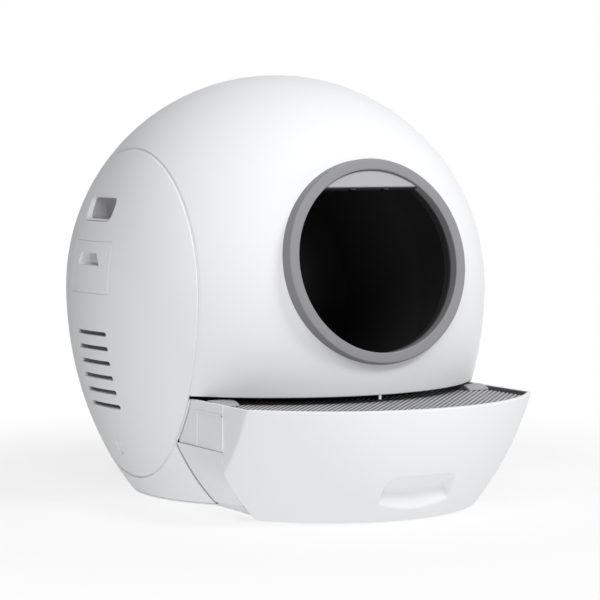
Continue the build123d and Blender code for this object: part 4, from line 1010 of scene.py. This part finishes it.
@dataclass
class SideCovers:
    """Both side covers with their vents and grips, and the left one's access lid and inlet."""

    globe: Globe
    grip: Opening = Opening((2.0, 379.5), (36.0, 13.5), 8.0)
    grip_rim: float = 2.6
    grip_floor_x: float = 236.6
    grip_lean: float = 9.0
    lid_hole: Opening = Opening((-2.25, 305.0), (51.75, 33.0), 3.0)
    lid_gap: float = 0.4
    ledge_depth: float = 1.1
    ledge_reach: float = 3.0
    ledge_wall: float = 1.0
    ledge_margins: Pair = (5.0, 5.0)
    ledge_lap: float = 0.1
    ledge_roll: float = 0.05
    lid_step: float = 3.0
    lid_margins: Pair = (1.0, 6.0)
    pocket_low: Pair = (31.0, 307.5)
    pocket_high: Pair = (21.5, 323.0)
    pocket_corner: float = 2.0
    pocket_floor_x: float = 267.0
    pocket_fine_y: tuple[Pair, ...] = ((-34.0, -19.0), (19.0, 34.0))
    pocket_fine_z: tuple[Pair, ...] = ((305.0, 325.5),)
    vent_count: int = 6
    vent_top_z: float = 220.5
    vent_pitch: float = 18.8
    vent_span: Pair = (-45.0, 37.0)
    vent_half_height: float = 2.8
    inlet_hole: Opening = Opening((-2.0, 69.0), (6.1, 9.1), 6.1)
    inlet_floor_x: float = 226.0
    socket_radius: float = 1.4
    socket_x: Pair = (224.5, 226.25)
    roll: float = 0.7
    seam_roll: float = 1.8
    step: float = 4.0
    span_y: Pair = (-186.0, 186.0)
    span_z: Pair = (28.0, 459.0)
    vent_margins: Pair = (4.0, 14.0)
    vent_steps: Pair = (0.7, 0.6)
    vent_band: float = 4.8
    grip_margin: float = 5.0
    grip_step: float = 0.9
    cup_sunk: float = 0.3
    left_fine_y: tuple = ((-58.0, -45.0, CLOSE), (46.0, 53.0, CLOSE), (-11.0, 7.0, CLOSE))
    left_fine_z: tuple = ((269.0, 276.0, CLOSE), (334.0, 341.0, CLOSE), (57.0, 81.0, CLOSE))

    def pocket_corners(self, grow: float = 0.0) -> Points:
        """Latch pocket's outline, narrower at the top, as (Y, Z) corners.

        Args:
            grow: Margin that makes the outline larger.

        Returns:
            The four corners.
        """
        (wide, low), (narrow, high) = self.pocket_low, self.pocket_high
        return np.array([(-wide - grow, low - grow), (wide + grow, low - grow),
                         (narrow + grow, high + grow), (-narrow - grow, high + grow)])

    def vent_rows(self) -> Points:
        """Heights of the vents' middles."""
        return self.vent_top_z - self.vent_pitch * np.arange(self.vent_count)

    def vent_field(self, points: Points, grow: float) -> Points:
        """Distance outside all the vents' slots.

        Args:
            points: Points on the globe's side.
            grow: Margin that makes the slots larger.

        Returns:
            The distances.
        """
        middle = sum(self.vent_span) / 2
        half = (self.vent_span[1] - self.vent_span[0]) / 2 + grow
        tall = self.vent_half_height + grow
        rows = self.vent_rows()
        near = rows[np.abs(points[:, 2, None] - rows).argmin(1)]
        return -inside_rounded_box(points[:, 1] - middle, points[:, 2] - near, half, tall, tall)

    def grid_lines(self, side: int) -> tuple[Points, Points]:
        """Grid lines of a cover, close together at its openings.

        Args:
            side: -1 for the left, 1 for the right.

        Returns:
            The lines in Y and the lines in Z.
        """
        start, end = self.vent_span
        grip_z, grip_half = self.grip.middle[1], self.grip.half[1]
        out, inner = self.vent_margins
        across, upright = self.vent_steps
        reach, band = grip_half + self.grip_margin, self.vent_band
        fine_y = [(start - out, start + inner, across), (end - inner, end + out, across)]
        fine_z = [(grip_z - reach, grip_z + reach, self.grip_step)]
        fine_z += [(height - band, height + band, upright) for height in self.vent_rows()]
        if side < 0:
            fine_y += self.left_fine_y
            fine_z += self.left_fine_z
        return spaced(*self.span_y, self.step, *fine_y), spaced(*self.span_z, self.step, *fine_z)

    def cover(self, side: int) -> Solid:
        """One cover: the globe beyond the side seam, cut by the openings it has on that side.

        Args:
            side: -1 for the left, 1 for the right.

        Returns:
            The closed solid.
        """
        globe = self.globe
        patch = globe.cap(side, *self.grid_lines(side))
        edge_x = globe.side_seam + globe.seam / 2 + self.seam_roll
        patch = patch.clipped(lambda p: np.abs(p[:, 0]) - edge_x)
        patch = patch.clipped(lambda p: self.vent_field(p, self.roll))
        patch = patch.clipped(lambda p: -self.grip.inside(p, self.grip_rim + self.roll))
        if side < 0:
            patch = patch.clipped(lambda p: -self.lid_hole.inside(p, self.lid_gap + self.roll))
            patch = patch.clipped(lambda p: -self.inlet_hole.inside(p, self.roll))
        solid = patch.shell(
            lambda p: np.where(np.abs(p[:, 0]) < edge_x + 0.01, self.seam_roll, self.roll), globe.wall)
        return solid.add(self.lid_ledge()) if side < 0 else solid

    def lid_patch(self, step: float, margins: Pair, fine_y: tuple[Pair, ...] = (),
                  fine_z: tuple[Pair, ...] = ()) -> Patch:
        """The globe's side about the lid, on a grid that is close at the lid's edges.

        Args:
            step: Usual spacing.
            margins: How far the close lines reach out of the lid and into it.
            fine_y: Further spans of Y with close lines.
            fine_z: Further spans of Z with close lines.

        Returns:
            The patch.
        """
        (y, z), (u, v) = self.lid_hole.middle, self.lid_hole.half
        return self.globe.cap(-1, framed(y, u, step, margins, *fine_y), framed(z, v, step, margins, *fine_z))

    def lid_ledge(self) -> Solid:
        """Rebate round the lid's opening, which closes its gap a little below the surface.

        Returns:
            The closed solid.
        """
        patch = self.lid_patch(self.step, self.ledge_margins)
        patch = patch.clipped(lambda p: self.lid_hole.inside(p, self.ledge_reach))
        patch = patch.clipped(lambda p: -self.lid_hole.inside(p, self.ledge_lap))
        return patch.sunk(self.ledge_depth).shell(self.ledge_roll, self.ledge_wall, 1)

    def cup(self, side: int, outline: Points, rings: list[Pair], floor_x: float, rim: int,
            lean: float = 0.0) -> tuple[Solid, Solid]:
        """Pocket lining: an outline carried inwards from the globe's side to a flat floor.

        Args:
            side: -1 for the left, 1 for the right.
            outline: Points of the pocket's outline as (Y, Z), anticlockwise seen from +X.
            rings: Steps as (growth of the outline, share of the depth).
            floor_x: Distance of the floor from the middle plane.
            rim: Number of steps that belong to the rim.
            lean: How far the rear wall leans forward on its way to the floor.

        Returns:
            The rim, with a skirt behind it, and the inside.
        """
        around = outline_normals(outline)
        middle = outline.mean(0)
        rows = []
        for grow, share in rings:
            ring = outline + around * grow
            back = np.clip((outline[:, 0] - middle[0]) / np.ptp(outline[:, 0]) * 2, 0, 1)
            ring[:, 0] -= lean * share * back
            top = self.globe.cap_reach(ring[:, 0], ring[:, 1]) - self.cup_sunk
            x = side * (top * (1 - share) + floor_x * share)
            rows.append(np.stack([x, ring[:, 0], ring[:, 1]], axis=1))
        inner = rows[-1].mean(0)
        rows.append(inner + (rows[-1] - inner) * 0.5)
        inside = self.open_skin(np.stack(rows[rim - 1:]), side)
        hub = inside.add_points(inner)
        last = hub - 1 - np.arange(len(outline) + 1)
        fan = np.stack([last[:-1], last[1:], np.full(len(outline), hub)], axis=1)
        fan = fan[:, ::-1] if side > 0 else fan
        inside.add_faces(fan, np.broadcast_to(np.array([float(side), 0.0, 0.0]), (len(outline), 3, 3)))
        return self.open_skin(np.stack(rows[:rim]), side), inside

    def open_skin(self, rings: Points, side: int) -> Solid:
        """Skin over closed rings of points, facing out of the globe's side.

        Args:
            rings: Rings of points from the outside in.
            side: -1 for the left, 1 for the right.

        Returns:
            The open skin.
        """
        points = np.concatenate([rings, rings[:, :1]], axis=1)
        patch = Patch.from_grid(points, outward=np.array([float(side), 0.0, 0.0]))
        solid = Solid()
        solid.add_points(patch.points)
        solid.add_faces(patch.tris, patch.normals[patch.tris])
        return solid

    def grip_lining(self, side: int) -> tuple[Solid, Solid]:
        """Carrying pocket: its chamfered rim, and its inside with a rear wall that leans.

        Args:
            side: -1 for the left, 1 for the right.

        Returns:
            The rim and the inside.
        """
        rings = [(2.5, 0.45), (2.5, 0.0), (1.9, 0.005), (0.2, 0.09), (0.0, 0.12), (0.0, 0.28), (0.0, 0.80),
                 (-0.6, 0.92), (-2.0, 0.985), (-3.4, 1.0)]
        return self.cup(side, self.grip.outline(10), rings, self.grip_floor_x, 6, self.grip_lean)

    def inlet(self) -> Solid:
        """Inlet's oblong dish.

        Returns:
            The dish with its rim.
        """
        rings = [(0.9, 0.4), (0.5, 0.0), (-0.6, 0.25), (-1.8, 0.55), (-3.2, 0.85), (-4.6, 1.0)]
        rim, inside = self.cup(-1, self.inlet_hole.outline(4), rings, self.inlet_floor_x, 2)
        return rim.add(inside)

    def inlet_socket(self) -> Solid:
        """Dark socket in the inlet's floor.

        Returns:
            The closed solid.
        """
        turn = np.linspace(0, 2 * np.pi, 32, endpoint=False)
        outline = np.stack([np.cos(turn), np.sin(turn)], axis=1) * self.socket_radius + self.inlet_hole.middle
        return prism(outline, -self.socket_x[0], -self.socket_x[1])

    def latch_pocket(self) -> Solid:
        """Sunken trapezoid in the lid, with a rounded floor edge.

        Returns:
            The pocket with its rim.
        """
        outline = fillet([tuple(c) for c in self.pocket_corners()], [self.pocket_corner] * 4, 5)
        rings = [(1.2, 0.35), (0.0, 0.0), (0.0, 0.75), (-0.5, 0.93), (-1.4, 1.0)]
        rim, inside = self.cup(-1, outline, rings, self.pocket_floor_x, 3)
        return rim.add(inside)

    def lid(self) -> Solid:
        """Access lid: the globe's side within the lid's outline, with the latch pocket's hole.

        Returns:
            The closed solid.
        """
        patch = self.lid_patch(self.lid_step, self.lid_margins, self.pocket_fine_y, self.pocket_fine_z)
        patch = patch.clipped(lambda p: self.lid_hole.inside(p, -self.roll))
        corners = self.pocket_corners(self.roll)
        patch = patch.clipped(lambda p: -inside_polygon(p[:, 1], p[:, 2], corners))
        return patch.shell(self.roll, self.globe.wall).add(self.latch_pocket())

    def build(self, finishes: Finishes) -> None:
        """Makes and dresses the covers, linings and lid.

        Args:
            finishes: Maker of the materials and the pieces.
        """
        for side, name in ((-1, "left"), (1, "right")):
            finishes.put(name + "_cover_skin", self.cover(side), Look.WHITE,
                         (name + "_side_cover",))
            rim, inside = self.grip_lining(side)
            finishes.put(name + "_grip_rim", rim, Look.WHITE, (name + "_grip_cup",))
            # The pocket's inside is dressed in painted shade; its rim keeps the plain white.
            finishes.put(name + "_grip_inside", inside, Look.GRIP_GREY)
        finishes.put("power_inlet_dish", self.inlet(), Look.WHITE, ("power_socket",))
        finishes.put("power_inlet_hole", self.inlet_socket(), Look.BLACK)
        finishes.put("access_lid_skin", self.lid(), Look.WHITE, ("access_lid",), "lid")


@dataclass
class Entry:
    """Grey ring round the entry and the visor across its top, about the entry's tilted axis."""

    globe: Globe
    radius: float = 128.4
    draft: float = 1.6
    bore: float = 114.6
    face: float = 264.6
    back: float = 241.0
    lining_face: float = 251.5
    lining_wall: float = 1.0
    lining_sunk: float = 0.3
    lining_rolls: tuple[float, ...] = (0.2, 0.2, 0.2, 0.5)
    foot_roll: float = 0.5
    outer_roll: float = 2.2
    inner_roll: float = 1.4
    segments: int = 256
    visor_half: float = 72.0
    visor_chord: float = 91.5
    visor_edge: float = 262.0
    visor_lean: float = 1.5
    visor_wall: float = 1.8
    visor_depth: float = 14.0
    visor_lip: float = 1.3
    visor_gap: float = 0.2
    visor_rolls: Pair = (1.2, 0.4)

    def ring(self) -> Solid:
        """Ring: a rounded oblong profile, a little wider at its foot, turned about the entry's axis.

        Returns:
            The closed solid.
        """
        corners = [(self.bore, self.back), (self.radius + self.draft, self.back), (self.radius, self.face),
                   (self.bore, self.face)]
        radii = [self.foot_roll, self.foot_roll, self.outer_roll, self.inner_roll]
        return self.turned(fillet(corners, radii, 6))

    def lining(self) -> Solid:
        """Black band inside the ring, behind its lit front edge: painted shade for the ring's shaded inner
        wall.

        Returns:
            The closed solid.
        """
        inner, outer = self.bore - self.lining_wall, self.bore + self.lining_sunk
        corners = [(inner, self.back), (outer, self.back), (outer, self.lining_face),
                   (inner, self.lining_face)]
        return self.turned(fillet(corners, self.lining_rolls, 3))

    def turned(self, profile: Points) -> Solid:
        """Profile of (distance from the axis, place along it) turned about the entry's axis.

        Args:
            profile: Points of the profile's outline.

        Returns:
            The closed solid.
        """
        around = outline_normals(profile)
        turn = np.linspace(0, 2 * np.pi, self.segments, endpoint=False)[:, None]
        points = self.globe.along_axis(profile[:, 0] * np.cos(turn), profile[:, 0] * np.sin(turn),
                                       profile[:, 1] + 0 * turn)
        centre = self.globe.along_axis(np.zeros(1), np.zeros(1), np.zeros(1))
        normals = self.globe.along_axis(around[:, 0] * np.cos(turn), around[:, 0] * np.sin(turn),
                                        around[:, 1] + 0 * turn) - centre
        return tube_grid(points, normals, True)

    def visor(self, sunk: float, depth: float, roll: float, lift: float) -> Solid:
        """Visor: a flat segment above a chord, its face leaning back a little towards the top.

        Args:
            sunk: How far the segment's face lies behind the visor's.
            depth: Thickness of the segment.
            roll: Radius of its rolled edge.
            lift: How far its lower edge lies above the chord.

        Returns:
            The segment.
        """
        top = self.bore - self.visor_gap
        x, up = np.meshgrid(np.linspace(-self.visor_half, self.visor_half, 97),
                            np.linspace(self.visor_chord - 1, top + 1, 33))
        lean = self.visor_lean * (up - self.visor_chord) / (self.bore - self.visor_chord)
        patch = Patch.from_grid(self.globe.along_axis(x, up, self.visor_edge - sunk - lean), outward=AHEAD)
        patch = patch.clipped(lambda p: top - roll - self.globe.from_axis(p))
        low = self.visor_chord + roll + lift
        return patch.clipped(lambda p: self.globe.above_axis(p) - low).shell(roll, depth)

    def build(self, finishes: Finishes) -> None:
        """Makes and dresses the ring and the visor, with black sheets of painted shade inside the ring and
        behind the visor.

        Args:
            finishes: Maker of the materials and the pieces.
        """
        face_roll, back_roll = self.visor_rolls
        face = self.visor(0.0, self.visor_wall, face_roll, self.visor_lip)
        # Black sheet behind the visor face that shows below its lifted lower edge: painted shade for the
        # visor's shaded lower edge.
        painted_shade_sheet = self.visor(self.visor_wall + 0.1, self.visor_depth, back_roll, 0.0)
        finishes.put("entry_ring_turned", self.ring(), Look.RING_GREY, ("entry_ring",))
        # Black band over the deeper part of the ring's inner wall: painted shade.
        finishes.put("entry_ring_lining", self.lining(), Look.BLACK)
        finishes.put("entry_visor_face", face, Look.VISOR_GREY, ("entry_visor",))
        finishes.put("entry_visor_back", painted_shade_sheet, Look.BLACK)


@dataclass
class Drawer:
    """Bulging drawer front with its finger scoop, and the ribbed mat on the step."""

    globe: Globe
    shift: float = 134.5
    half: float = 207.9
    rim_z: float = 145.6
    rear_y: float = -236.0
    wall: float = 4.0
    corner: float = 1.4
    roll: float = 1.2
    foot_z: float = 1.0
    joint_gap: float = 0.4
    front_turn: float = 67.0
    turn_steps: Pair = (0.7, 0.27)
    row_steps: Pair = (3.0, 1.0)
    scoop_turn: float = 16.0
    scoop_rows: Pair = (10.0, 66.0)
    scoop_half: Pair = (51.0, 22.5)
    scoop_corner: float = 17.0
    scoop_z: float = 39.5
    scoop_back: float = -338.6
    scoop_roof: float = 0.62
    scoop_slope: float = 2.2
    scoop_soft: Triple = (6.0, 4.0, 2.0)
    scoop_margin: float = 3.0
    floor_half: float = 200.0
    floor_front: float = -335.0
    floor_top: float = 14.2
    floor_level: float = 10.4
    floor_wall: float = 3.6
    mat_top: float = 140.6
    mat_thick: float = 3.8
    mat_gap: float = 0.5
    mat_lip: float = 1.8
    mat_rear: float = 215.0
    mat_ends: float = -132.4
    base_half: float = 205.0
    base_span: Pair = (-395.0, -130.0)
    base_wall: float = 2.4
    sheet_half: float = 330.0
    sheet_y: float = -240.0
    rib_pitch: float = 6.2
    rib_depth: float = 2.2
    rib_power: float = 0.6
    rib_show: float = 0.8
    rib_turn: float = np.radians(43.7)
    lip_turn: float = 88.5
    mat_edge_drop: float = 0.4
    clip_x: Pair = (171.6, 202.2)
    clip_y: Pair = (-210.4, -186.6)
    clip_low: float = 0.6
    clip_high: float = 5.6
    clip_wall: float = 3.0
    bead_y: Pair = (-236.0, -168.0)
    bead_z: Pair = (90.0, 134.2)
    bead_width: float = 2.4
    bead_corner: float = 0.3
    bead_x: Pair = (207.2, 209.5)

    def reach(self, turn: Points, z: Points, inset: float = 0.0) -> Points:
        """Distance of the drawer's outside from its upright axis: the globe's radius, cut flat at both sides
        with a rounded corner."""
        flat = (self.half - inset) / np.maximum(np.abs(np.sin(turn)), 1e-6)
        return smooth_min(self.globe.radius_at(z) - inset, flat, self.corner)

    def within(self, points: Points, radius: float) -> Points:
        """Distance inside a circle about the drawer's upright axis."""
        return radius - np.hypot(points[:, 0], points[:, 1] + self.shift)

    def front(self) -> Solid:
        """Drawer front: the outside over a grid of turn and height, pressed in at the finger scoop.

        Returns:
            The closed solid.
        """
        (wide, close), (tall, low) = self.turn_steps, self.row_steps
        turns = spaced(-self.front_turn, self.front_turn, wide, (-self.scoop_turn, self.scoop_turn, close))
        zs = spaced(self.foot_z, self.rim_z, tall, (*self.scoop_rows, low))
        turn, z = np.meshgrid(np.radians(turns), zs)
        reach = self.reach(turn, z)
        x = reach * np.sin(turn)
        y = -self.shift - reach * np.cos(turn)
        patch = Patch.sheet(x, y + self.scoop(x, y, z), z, AHEAD)
        patch = patch.clipped(lambda p: self.rear_y - p[:, 1] - self.joint_gap)
        patch = patch.clipped(lambda p: self.rim_z - self.roll - p[:, 2])
        patch = patch.clipped(lambda p: p[:, 2] - self.foot_z - self.roll)
        return patch.shell(self.roll, self.wall).add(self.floor())

    def scoop(self, x: Points, y: Points, z: Points) -> Points:
        """How far the finger scoop presses the front in: a V-shaped hollow with rounded edges.

        Args:
            x: Places across.
            y: Places from front to back.
            z: Heights.

        Returns:
            The depths.
        """
        within = inside_rounded_box(x, z - self.scoop_z, *self.scoop_half, self.scoop_corner)
        bottom, side, edge = self.scoop_soft
        roof = (self.scoop_z + self.scoop_half[1] - z) * self.scoop_roof
        hollow = smooth_min(self.scoop_back - y, roof, bottom)
        depth = smooth_min(within * self.scoop_slope, hollow, side)
        return np.where(within > -self.scoop_margin, -smooth_min(-depth, np.zeros_like(depth), edge), 0.0)

    def beads(self) -> Solid:
        """Raised beads that frame the panel in each side wall: one along its top and one down its front.

        Returns:
            The closed solid.
        """
        solid = Solid()
        front, rear = self.bead_y
        low, high = self.bead_z
        wide = self.bead_width
        top = oblong((front, high - wide), (rear, high), self.bead_corner)
        upright = oblong((front, low), (front + wide, high - wide / 2), self.bead_corner)
        for side in (-1, 1):
            for outline in (top, upright):
                solid.add(prism(outline, side * self.bead_x[0], side * self.bead_x[1]))
        return solid

    def floor(self) -> Solid:
        """Floor flange inside the front's foot.

        Returns:
            The closed solid.
        """
        x, y = np.meshgrid(np.linspace(-self.floor_half, self.floor_half, 81),
                           np.linspace(self.floor_front, self.rear_y, 41))
        limit = float(self.globe.radius_at(self.floor_level)) - self.wall + 0.5
        patch = Patch.sheet(x, y, np.full_like(x, self.floor_top), UP)
        return patch.clipped(lambda p: self.within(p, limit)).shell(0.4, self.floor_wall, 2)

    def mat(self) -> Solid:
        """Ribbed mat: a cosine wave as the height over a slanted grid, cut to the step's outline.

        Returns:
            The closed solid.
        """
        u, v = np.meshgrid(np.arange(-self.sheet_half, self.sheet_half, self.rib_pitch / 8),
                           np.arange(-self.sheet_half, self.sheet_half + 1.0, 6.0))
        sine, cosine = np.sin(self.rib_turn), np.cos(self.rib_turn)
        wave = 0.5 + 0.5 * np.cos(2 * np.pi * u / self.rib_pitch)
        z = self.mat_top - self.rib_depth * (1 - wave ** self.rib_power)
        patch = Patch.sheet(u * cosine + v * sine, v * cosine - u * sine + self.sheet_y, z, UP)
        return self.trimmed(patch).shell(0.4, 0.5, 2)

    def mat_base(self) -> Solid:
        """Flat dark sheet a little below the rib tops: painted shade that darkens the valleys between the
        mat's ribs.

        Returns:
            The closed solid.
        """
        x, y = np.meshgrid(np.linspace(-self.base_half, self.base_half, 103),
                           np.linspace(*self.base_span, 67))
        patch = Patch.sheet(x, y, np.full_like(x, self.mat_top - self.rib_show), UP)
        return self.trimmed(patch).shell(0.3, self.base_wall, 2)

    def trimmed(self, patch: Patch) -> Patch:
        """Sheet cut to the outline of the step.

        Args:
            patch: Sheet to cut.

        Returns:
            The cut sheet.
        """
        edge = self.wall + self.mat_gap + self.mat_lip + self.joint_gap
        limit = float(self.globe.radius_at(self.mat_top)) - edge
        patch = patch.clipped(lambda p: self.within(p, limit))
        patch = patch.clipped(lambda p: self.half - edge - np.abs(p[:, 0]))
        patch = patch.clipped(lambda p: np.hypot(p[:, 0], p[:, 1]) - self.mat_rear - self.joint_gap)
        return patch.clipped(lambda p: self.mat_ends - p[:, 1])

    def clip(self, side: int) -> Solid:
        """Tongue that holds one end of the mat: a ramp that rounds down to its nose.

        Args:
            side: -1 for the left, 1 for the right.

        Returns:
            The closed solid.
        """
        x, y = np.meshgrid(np.linspace(*self.clip_x, 33), np.linspace(*self.clip_y, 61))
        back = (y - self.clip_y[0]) / (self.clip_y[1] - self.clip_y[0])
        z = self.mat_top + self.clip_low + self.clip_high * np.sqrt(1 - (1 - back) ** 2)
        return Patch.sheet(side * x, y, z, UP).shell(0.6, self.clip_wall, 3)

    def mat_edge(self) -> Solid:
        """Dark raised lip round the mat's front, standing against the inside of the rim above the mat: a
        small rounded profile carried along the inside of the rim.

        Returns:
            The closed solid.
        """
        turn = np.radians(np.linspace(-self.lip_turn, self.lip_turn, 400))
        wide = self.mat_lip / 2
        middle = self.reach(turn, np.full_like(turn, self.mat_top), self.wall + self.mat_gap + wide)
        path = np.stack([middle * np.sin(turn), -self.shift - middle * np.cos(turn)], axis=1)
        ahead = unit(np.gradient(path, axis=0))
        across = np.stack([ahead[:, 1], -ahead[:, 0]], axis=1)[:, None]
        low, high = self.mat_top - self.mat_thick + 0.1, self.rim_z - self.mat_edge_drop
        profile = fillet([(-wide, low), (wide, low), (wide, high), (-wide, high)], [0.2, 0.2, 0.8, 0.8], 4)

        def along_path(flat: Points) -> Points:
            """Pairs of (sideways, up) as vectors at every step of the path."""
            rise = np.broadcast_to(flat[:, 1:], (len(path), len(flat), 1))
            return np.concatenate([across * flat[:, :1], rise], axis=2)

        points = along_path(profile)
        points[..., :2] += path[:, None]
        return tube_grid(points, along_path(outline_normals(profile)), False)

    def build(self, finishes: Finishes) -> None:
        """Makes and dresses the front and the mat.

        Args:
            finishes: Maker of the materials and the pieces.
        """
        tongues = self.clip(-1).add(self.clip(1))
        for name, solid, look, slot, replaced in (
                ("drawer_front_skin", self.front(), Look.WHITE, "white_plastic", ("drawer_fascia",)),
                ("drawer_wall_beads", self.beads(), Look.WHITE, "white_plastic", ()),
                ("step_mat_ribbed", self.mat(), Look.MAT, "mat_rubber", ("step_mat",)),
                ("step_mat_base", self.mat_base(), Look.MAT_BASE, "mat_rubber", ()),
                ("step_mat_edge", self.mat_edge(), Look.MAT_EDGE, "mat_rubber", ()),
                ("mat_clip_tongues", tongues, Look.VISOR_GREY, "light_grey_plastic", ("mat_clips",))):
            finishes.put(name, solid, look, replaced, "drawer")


CAD_LOOKS: dict[Look, tuple[str, ...]] = {
    Look.WHITE: ("globe_shell", "rear_shell", "left_side_cover", "right_side_cover", "access_lid",
                 "base_tray", "drawer_fascia", "drawer_frame", "left_grip_cup", "right_grip_cup",
                 "power_socket"),
    Look.RING_GREY: ("entry_ring",),
    Look.VISOR_GREY: ("entry_visor", "mat_clips", "drawer_tray"),
    # Latch tongue and fan shroud get painted shade for their shaded recesses.
    Look.POCKET_GREY: ("lid_latch", "fan_shroud"),
    Look.DRUM: ("drum_front", "drum_rear", "waste_sieve"),
    Look.BLACK: ("scent_box", "fan_impeller", "roller_legs", "waste_bin"),
    Look.MAT: ("step_mat",),
    Look.RUBBER: ("mouth_seal", "rubber_feet"),
    Look.ACETAL: ("drum_gear", "rear_bush", "drive_pinion", "roller_front_left", "roller_front_right",
                  "roller_rear_left", "roller_rear_right"),
    Look.STEEL: ("load_cells", "base_screws", "roller_pins", "drum_screws", "rear_pivot_post", "drive_motor",
                 "motor_bracket", "drawer_runners"),
    Look.BOARD: ("control_board",),
    Look.LENS: ("sensor_lenses",),
    Look.PAD: ("scent_cartridge",),
}


def dress_cad(nodes: dict[str, bpy.types.Object], finishes: Finishes) -> None:
    """Gives every CAD node its finish.

    Args:
        nodes: CAD objects by node name.
        finishes: Maker of the materials.
    """
    for look, names in CAD_LOOKS.items():
        for name in names:
            finishes.dress(nodes[name], look)
    bare = sorted(set(nodes) - {name for names in CAD_LOOKS.values() for name in names})
    LOG.info("CAD nodes dressed: %d, left bare: %s", len(nodes) - len(bare), bare)


@dataclass
class Studio:
    """Pale floor, white surroundings, soft lamps and the camera, in metres in the shared frame."""

    camera_at: Triple = (-1.4641, -2.50765, 0.4527)
    camera_to: Triple = (0.02831, 0.04218, 0.25283)
    lens_mm: float = 132.1
    sensor_mm: float = 36.0
    floor_half: float = 9.0
    glow_share: float = 0.80
    shadow_reach: float = 0.50
    shadow_fade: float = 2.2
    ambient: float = 0.12
    bounce: float = 0.95
    bounce_back: float = 0.36
    bounce_span: float = 0.5
    lamp_target: Triple = (0.0, 0.0, 0.25)
    floor_colour: Colour = (0.86, 0.86, 0.865)
    lamps: list[tuple[str, Triple, float, float]] = field(default_factory=lambda: [
        ("key", (1.25, -2.4, 2.6), 1.0, 62.0),
        ("top", (0.2, -0.4, 3.2), 2.4, 11.0),
        ("upper_front", (-1.35, -2.05, 2.4), 1.8, 38.0),
        ("low_front", (-1.6, -2.0, 0.14), 1.0, 11.0),
        ("right", (2.4, -2.0, 0.6), 1.2, 8.0),
    ])

    def seen(self, tree: Tree) -> Sock:
        """1 for rays from the camera, or for its reflected and passed-on rays, and 0 for light."""
        rays = {sock.socket.name: sock for sock in tree.node("ShaderNodeLightPath", {}, {})}
        return rays["Is Camera Ray"].at_least(rays["Is Glossy Ray"]).at_least(rays["Is Transmission Ray"])

    def floor(self) -> None:
        """Floor plane that looks white where it is lit and keeps a soft shadow; towards the front it also
        glows for the object's light rays, a painted bounce light from below.
        """
        mesh = bpy.data.meshes.new("studio_floor")
        x, y = np.meshgrid([-self.floor_half, self.floor_half], [-self.floor_half, self.floor_half])
        corners = np.stack([x.ravel(), y.ravel(), np.zeros(4)], axis=1)
        mesh.from_pydata(corners.tolist(), [], [(0, 1, 3, 2)])
        floor = bpy.data.objects.new("studio_floor", mesh)
        bpy.context.scene.collection.objects.link(floor)
        material = bpy.data.materials.new("studio_floor")
        material.use_nodes = True
        tree = Tree(material.node_tree)
        place = tree.place()
        cloud = tree.noise(place, 3.0, 2.0)
        colour = tree.mix(cloud, opaque(self.floor_colour, 0.99), opaque(self.floor_colour, 1.01))
        plain = tree.node("ShaderNodeBsdfDiffuse", {}, {"Color": colour})[0]
        glow = tree.node("ShaderNodeEmission", {}, {"Color": (1.0, 1.0, 1.0, 1.0), "Strength": 1.0})[0]
        away = tree.node("ShaderNodeVectorMath", {"operation": "LENGTH"}, {0: place})[1]
        fade = ((away - self.shadow_reach) * self.shadow_fade).at_least(0.0).at_most(1.0)
        seen = self.seen(tree)
        depth = tree.node("ShaderNodeSeparateXYZ", {}, {0: place})[1]
        front = ((self.bounce_back - depth) * (1.0 / self.bounce_span)).at_least(0.0).at_most(1.0)
        shown = fade * (1.0 - self.glow_share) + self.glow_share
        # Towards the front the floor glows for the object's light rays: painted bounce light from the floor.
        share = seen * shown + (1.0 - seen) * (front * self.bounce)
        shader = tree.node("ShaderNodeMixShader", {}, {0: share, 1: plain, 2: glow})[0]
        tree.node("ShaderNodeOutputMaterial", {}, {"Surface": shader})
        mesh.materials.append(material)

    def world(self) -> None:
        """White surroundings for the camera and an even light of a lower level for the object."""
        world = bpy.data.worlds.new("studio_world")
        bpy.context.scene.world = world
        world.use_nodes = True
        tree = Tree(world.node_tree)
        light, white = (tree.node("ShaderNodeBackground", {}, {"Color": colour, "Strength": strength})[0]
                        for colour, strength in (((0.97, 0.985, 1.0, 1.0), self.ambient), ((1.0,) * 4, 1.0)))
        shader = tree.node("ShaderNodeMixShader", {}, {0: self.seen(tree), 1: light, 2: white})[0]
        tree.node("ShaderNodeOutputWorld", {}, {"Surface": shader})

    def aim(self, thing: bpy.types.Object, place: tuple, target: tuple) -> None:
        """Puts a lamp or the camera at a place, looking at a target.

        Args:
            thing: Lamp or camera.
            place: Where it stands.
            target: What it looks at.
        """
        thing.location = place
        thing.rotation_euler = (Vector(target) - Vector(place)).to_track_quat("-Z", "Y").to_euler()
        bpy.context.scene.collection.objects.link(thing)

    def build(self) -> None:
        """Makes the floor, the surroundings, the lamps and the camera."""
        self.floor()
        self.world()
        for name, place, size, power in self.lamps:
            lamp = bpy.data.lights.new(name, "AREA")
            lamp.shape = "DISK"
            lamp.size = size
            lamp.energy = power
            self.aim(bpy.data.objects.new(name, lamp), place, self.lamp_target)
        camera = bpy.data.cameras.new("camera")
        camera.lens = self.lens_mm
        camera.sensor_width = self.sensor_mm
        holder = bpy.data.objects.new("camera", camera)
        self.aim(holder, self.camera_at, self.camera_to)
        bpy.context.scene.camera = holder
        bpy.context.scene.view_settings.view_transform = "Standard"


def main() -> None:
    """Loads the frame, builds every piece in order and sets the studio."""
    logging.basicConfig(level=logging.INFO, format="%(name)s: %(message)s")
    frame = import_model()
    finishes = Finishes()
    dress_cad(frame["nodes"], finishes)
    globe = Globe()
    for part in (MainShells(globe), SideCovers(globe), Entry(globe), Drawer(globe)):
        part.build(finishes)
    Studio().build()
    LOG.info("boxes written")


if __name__ == "__main__":
    main()
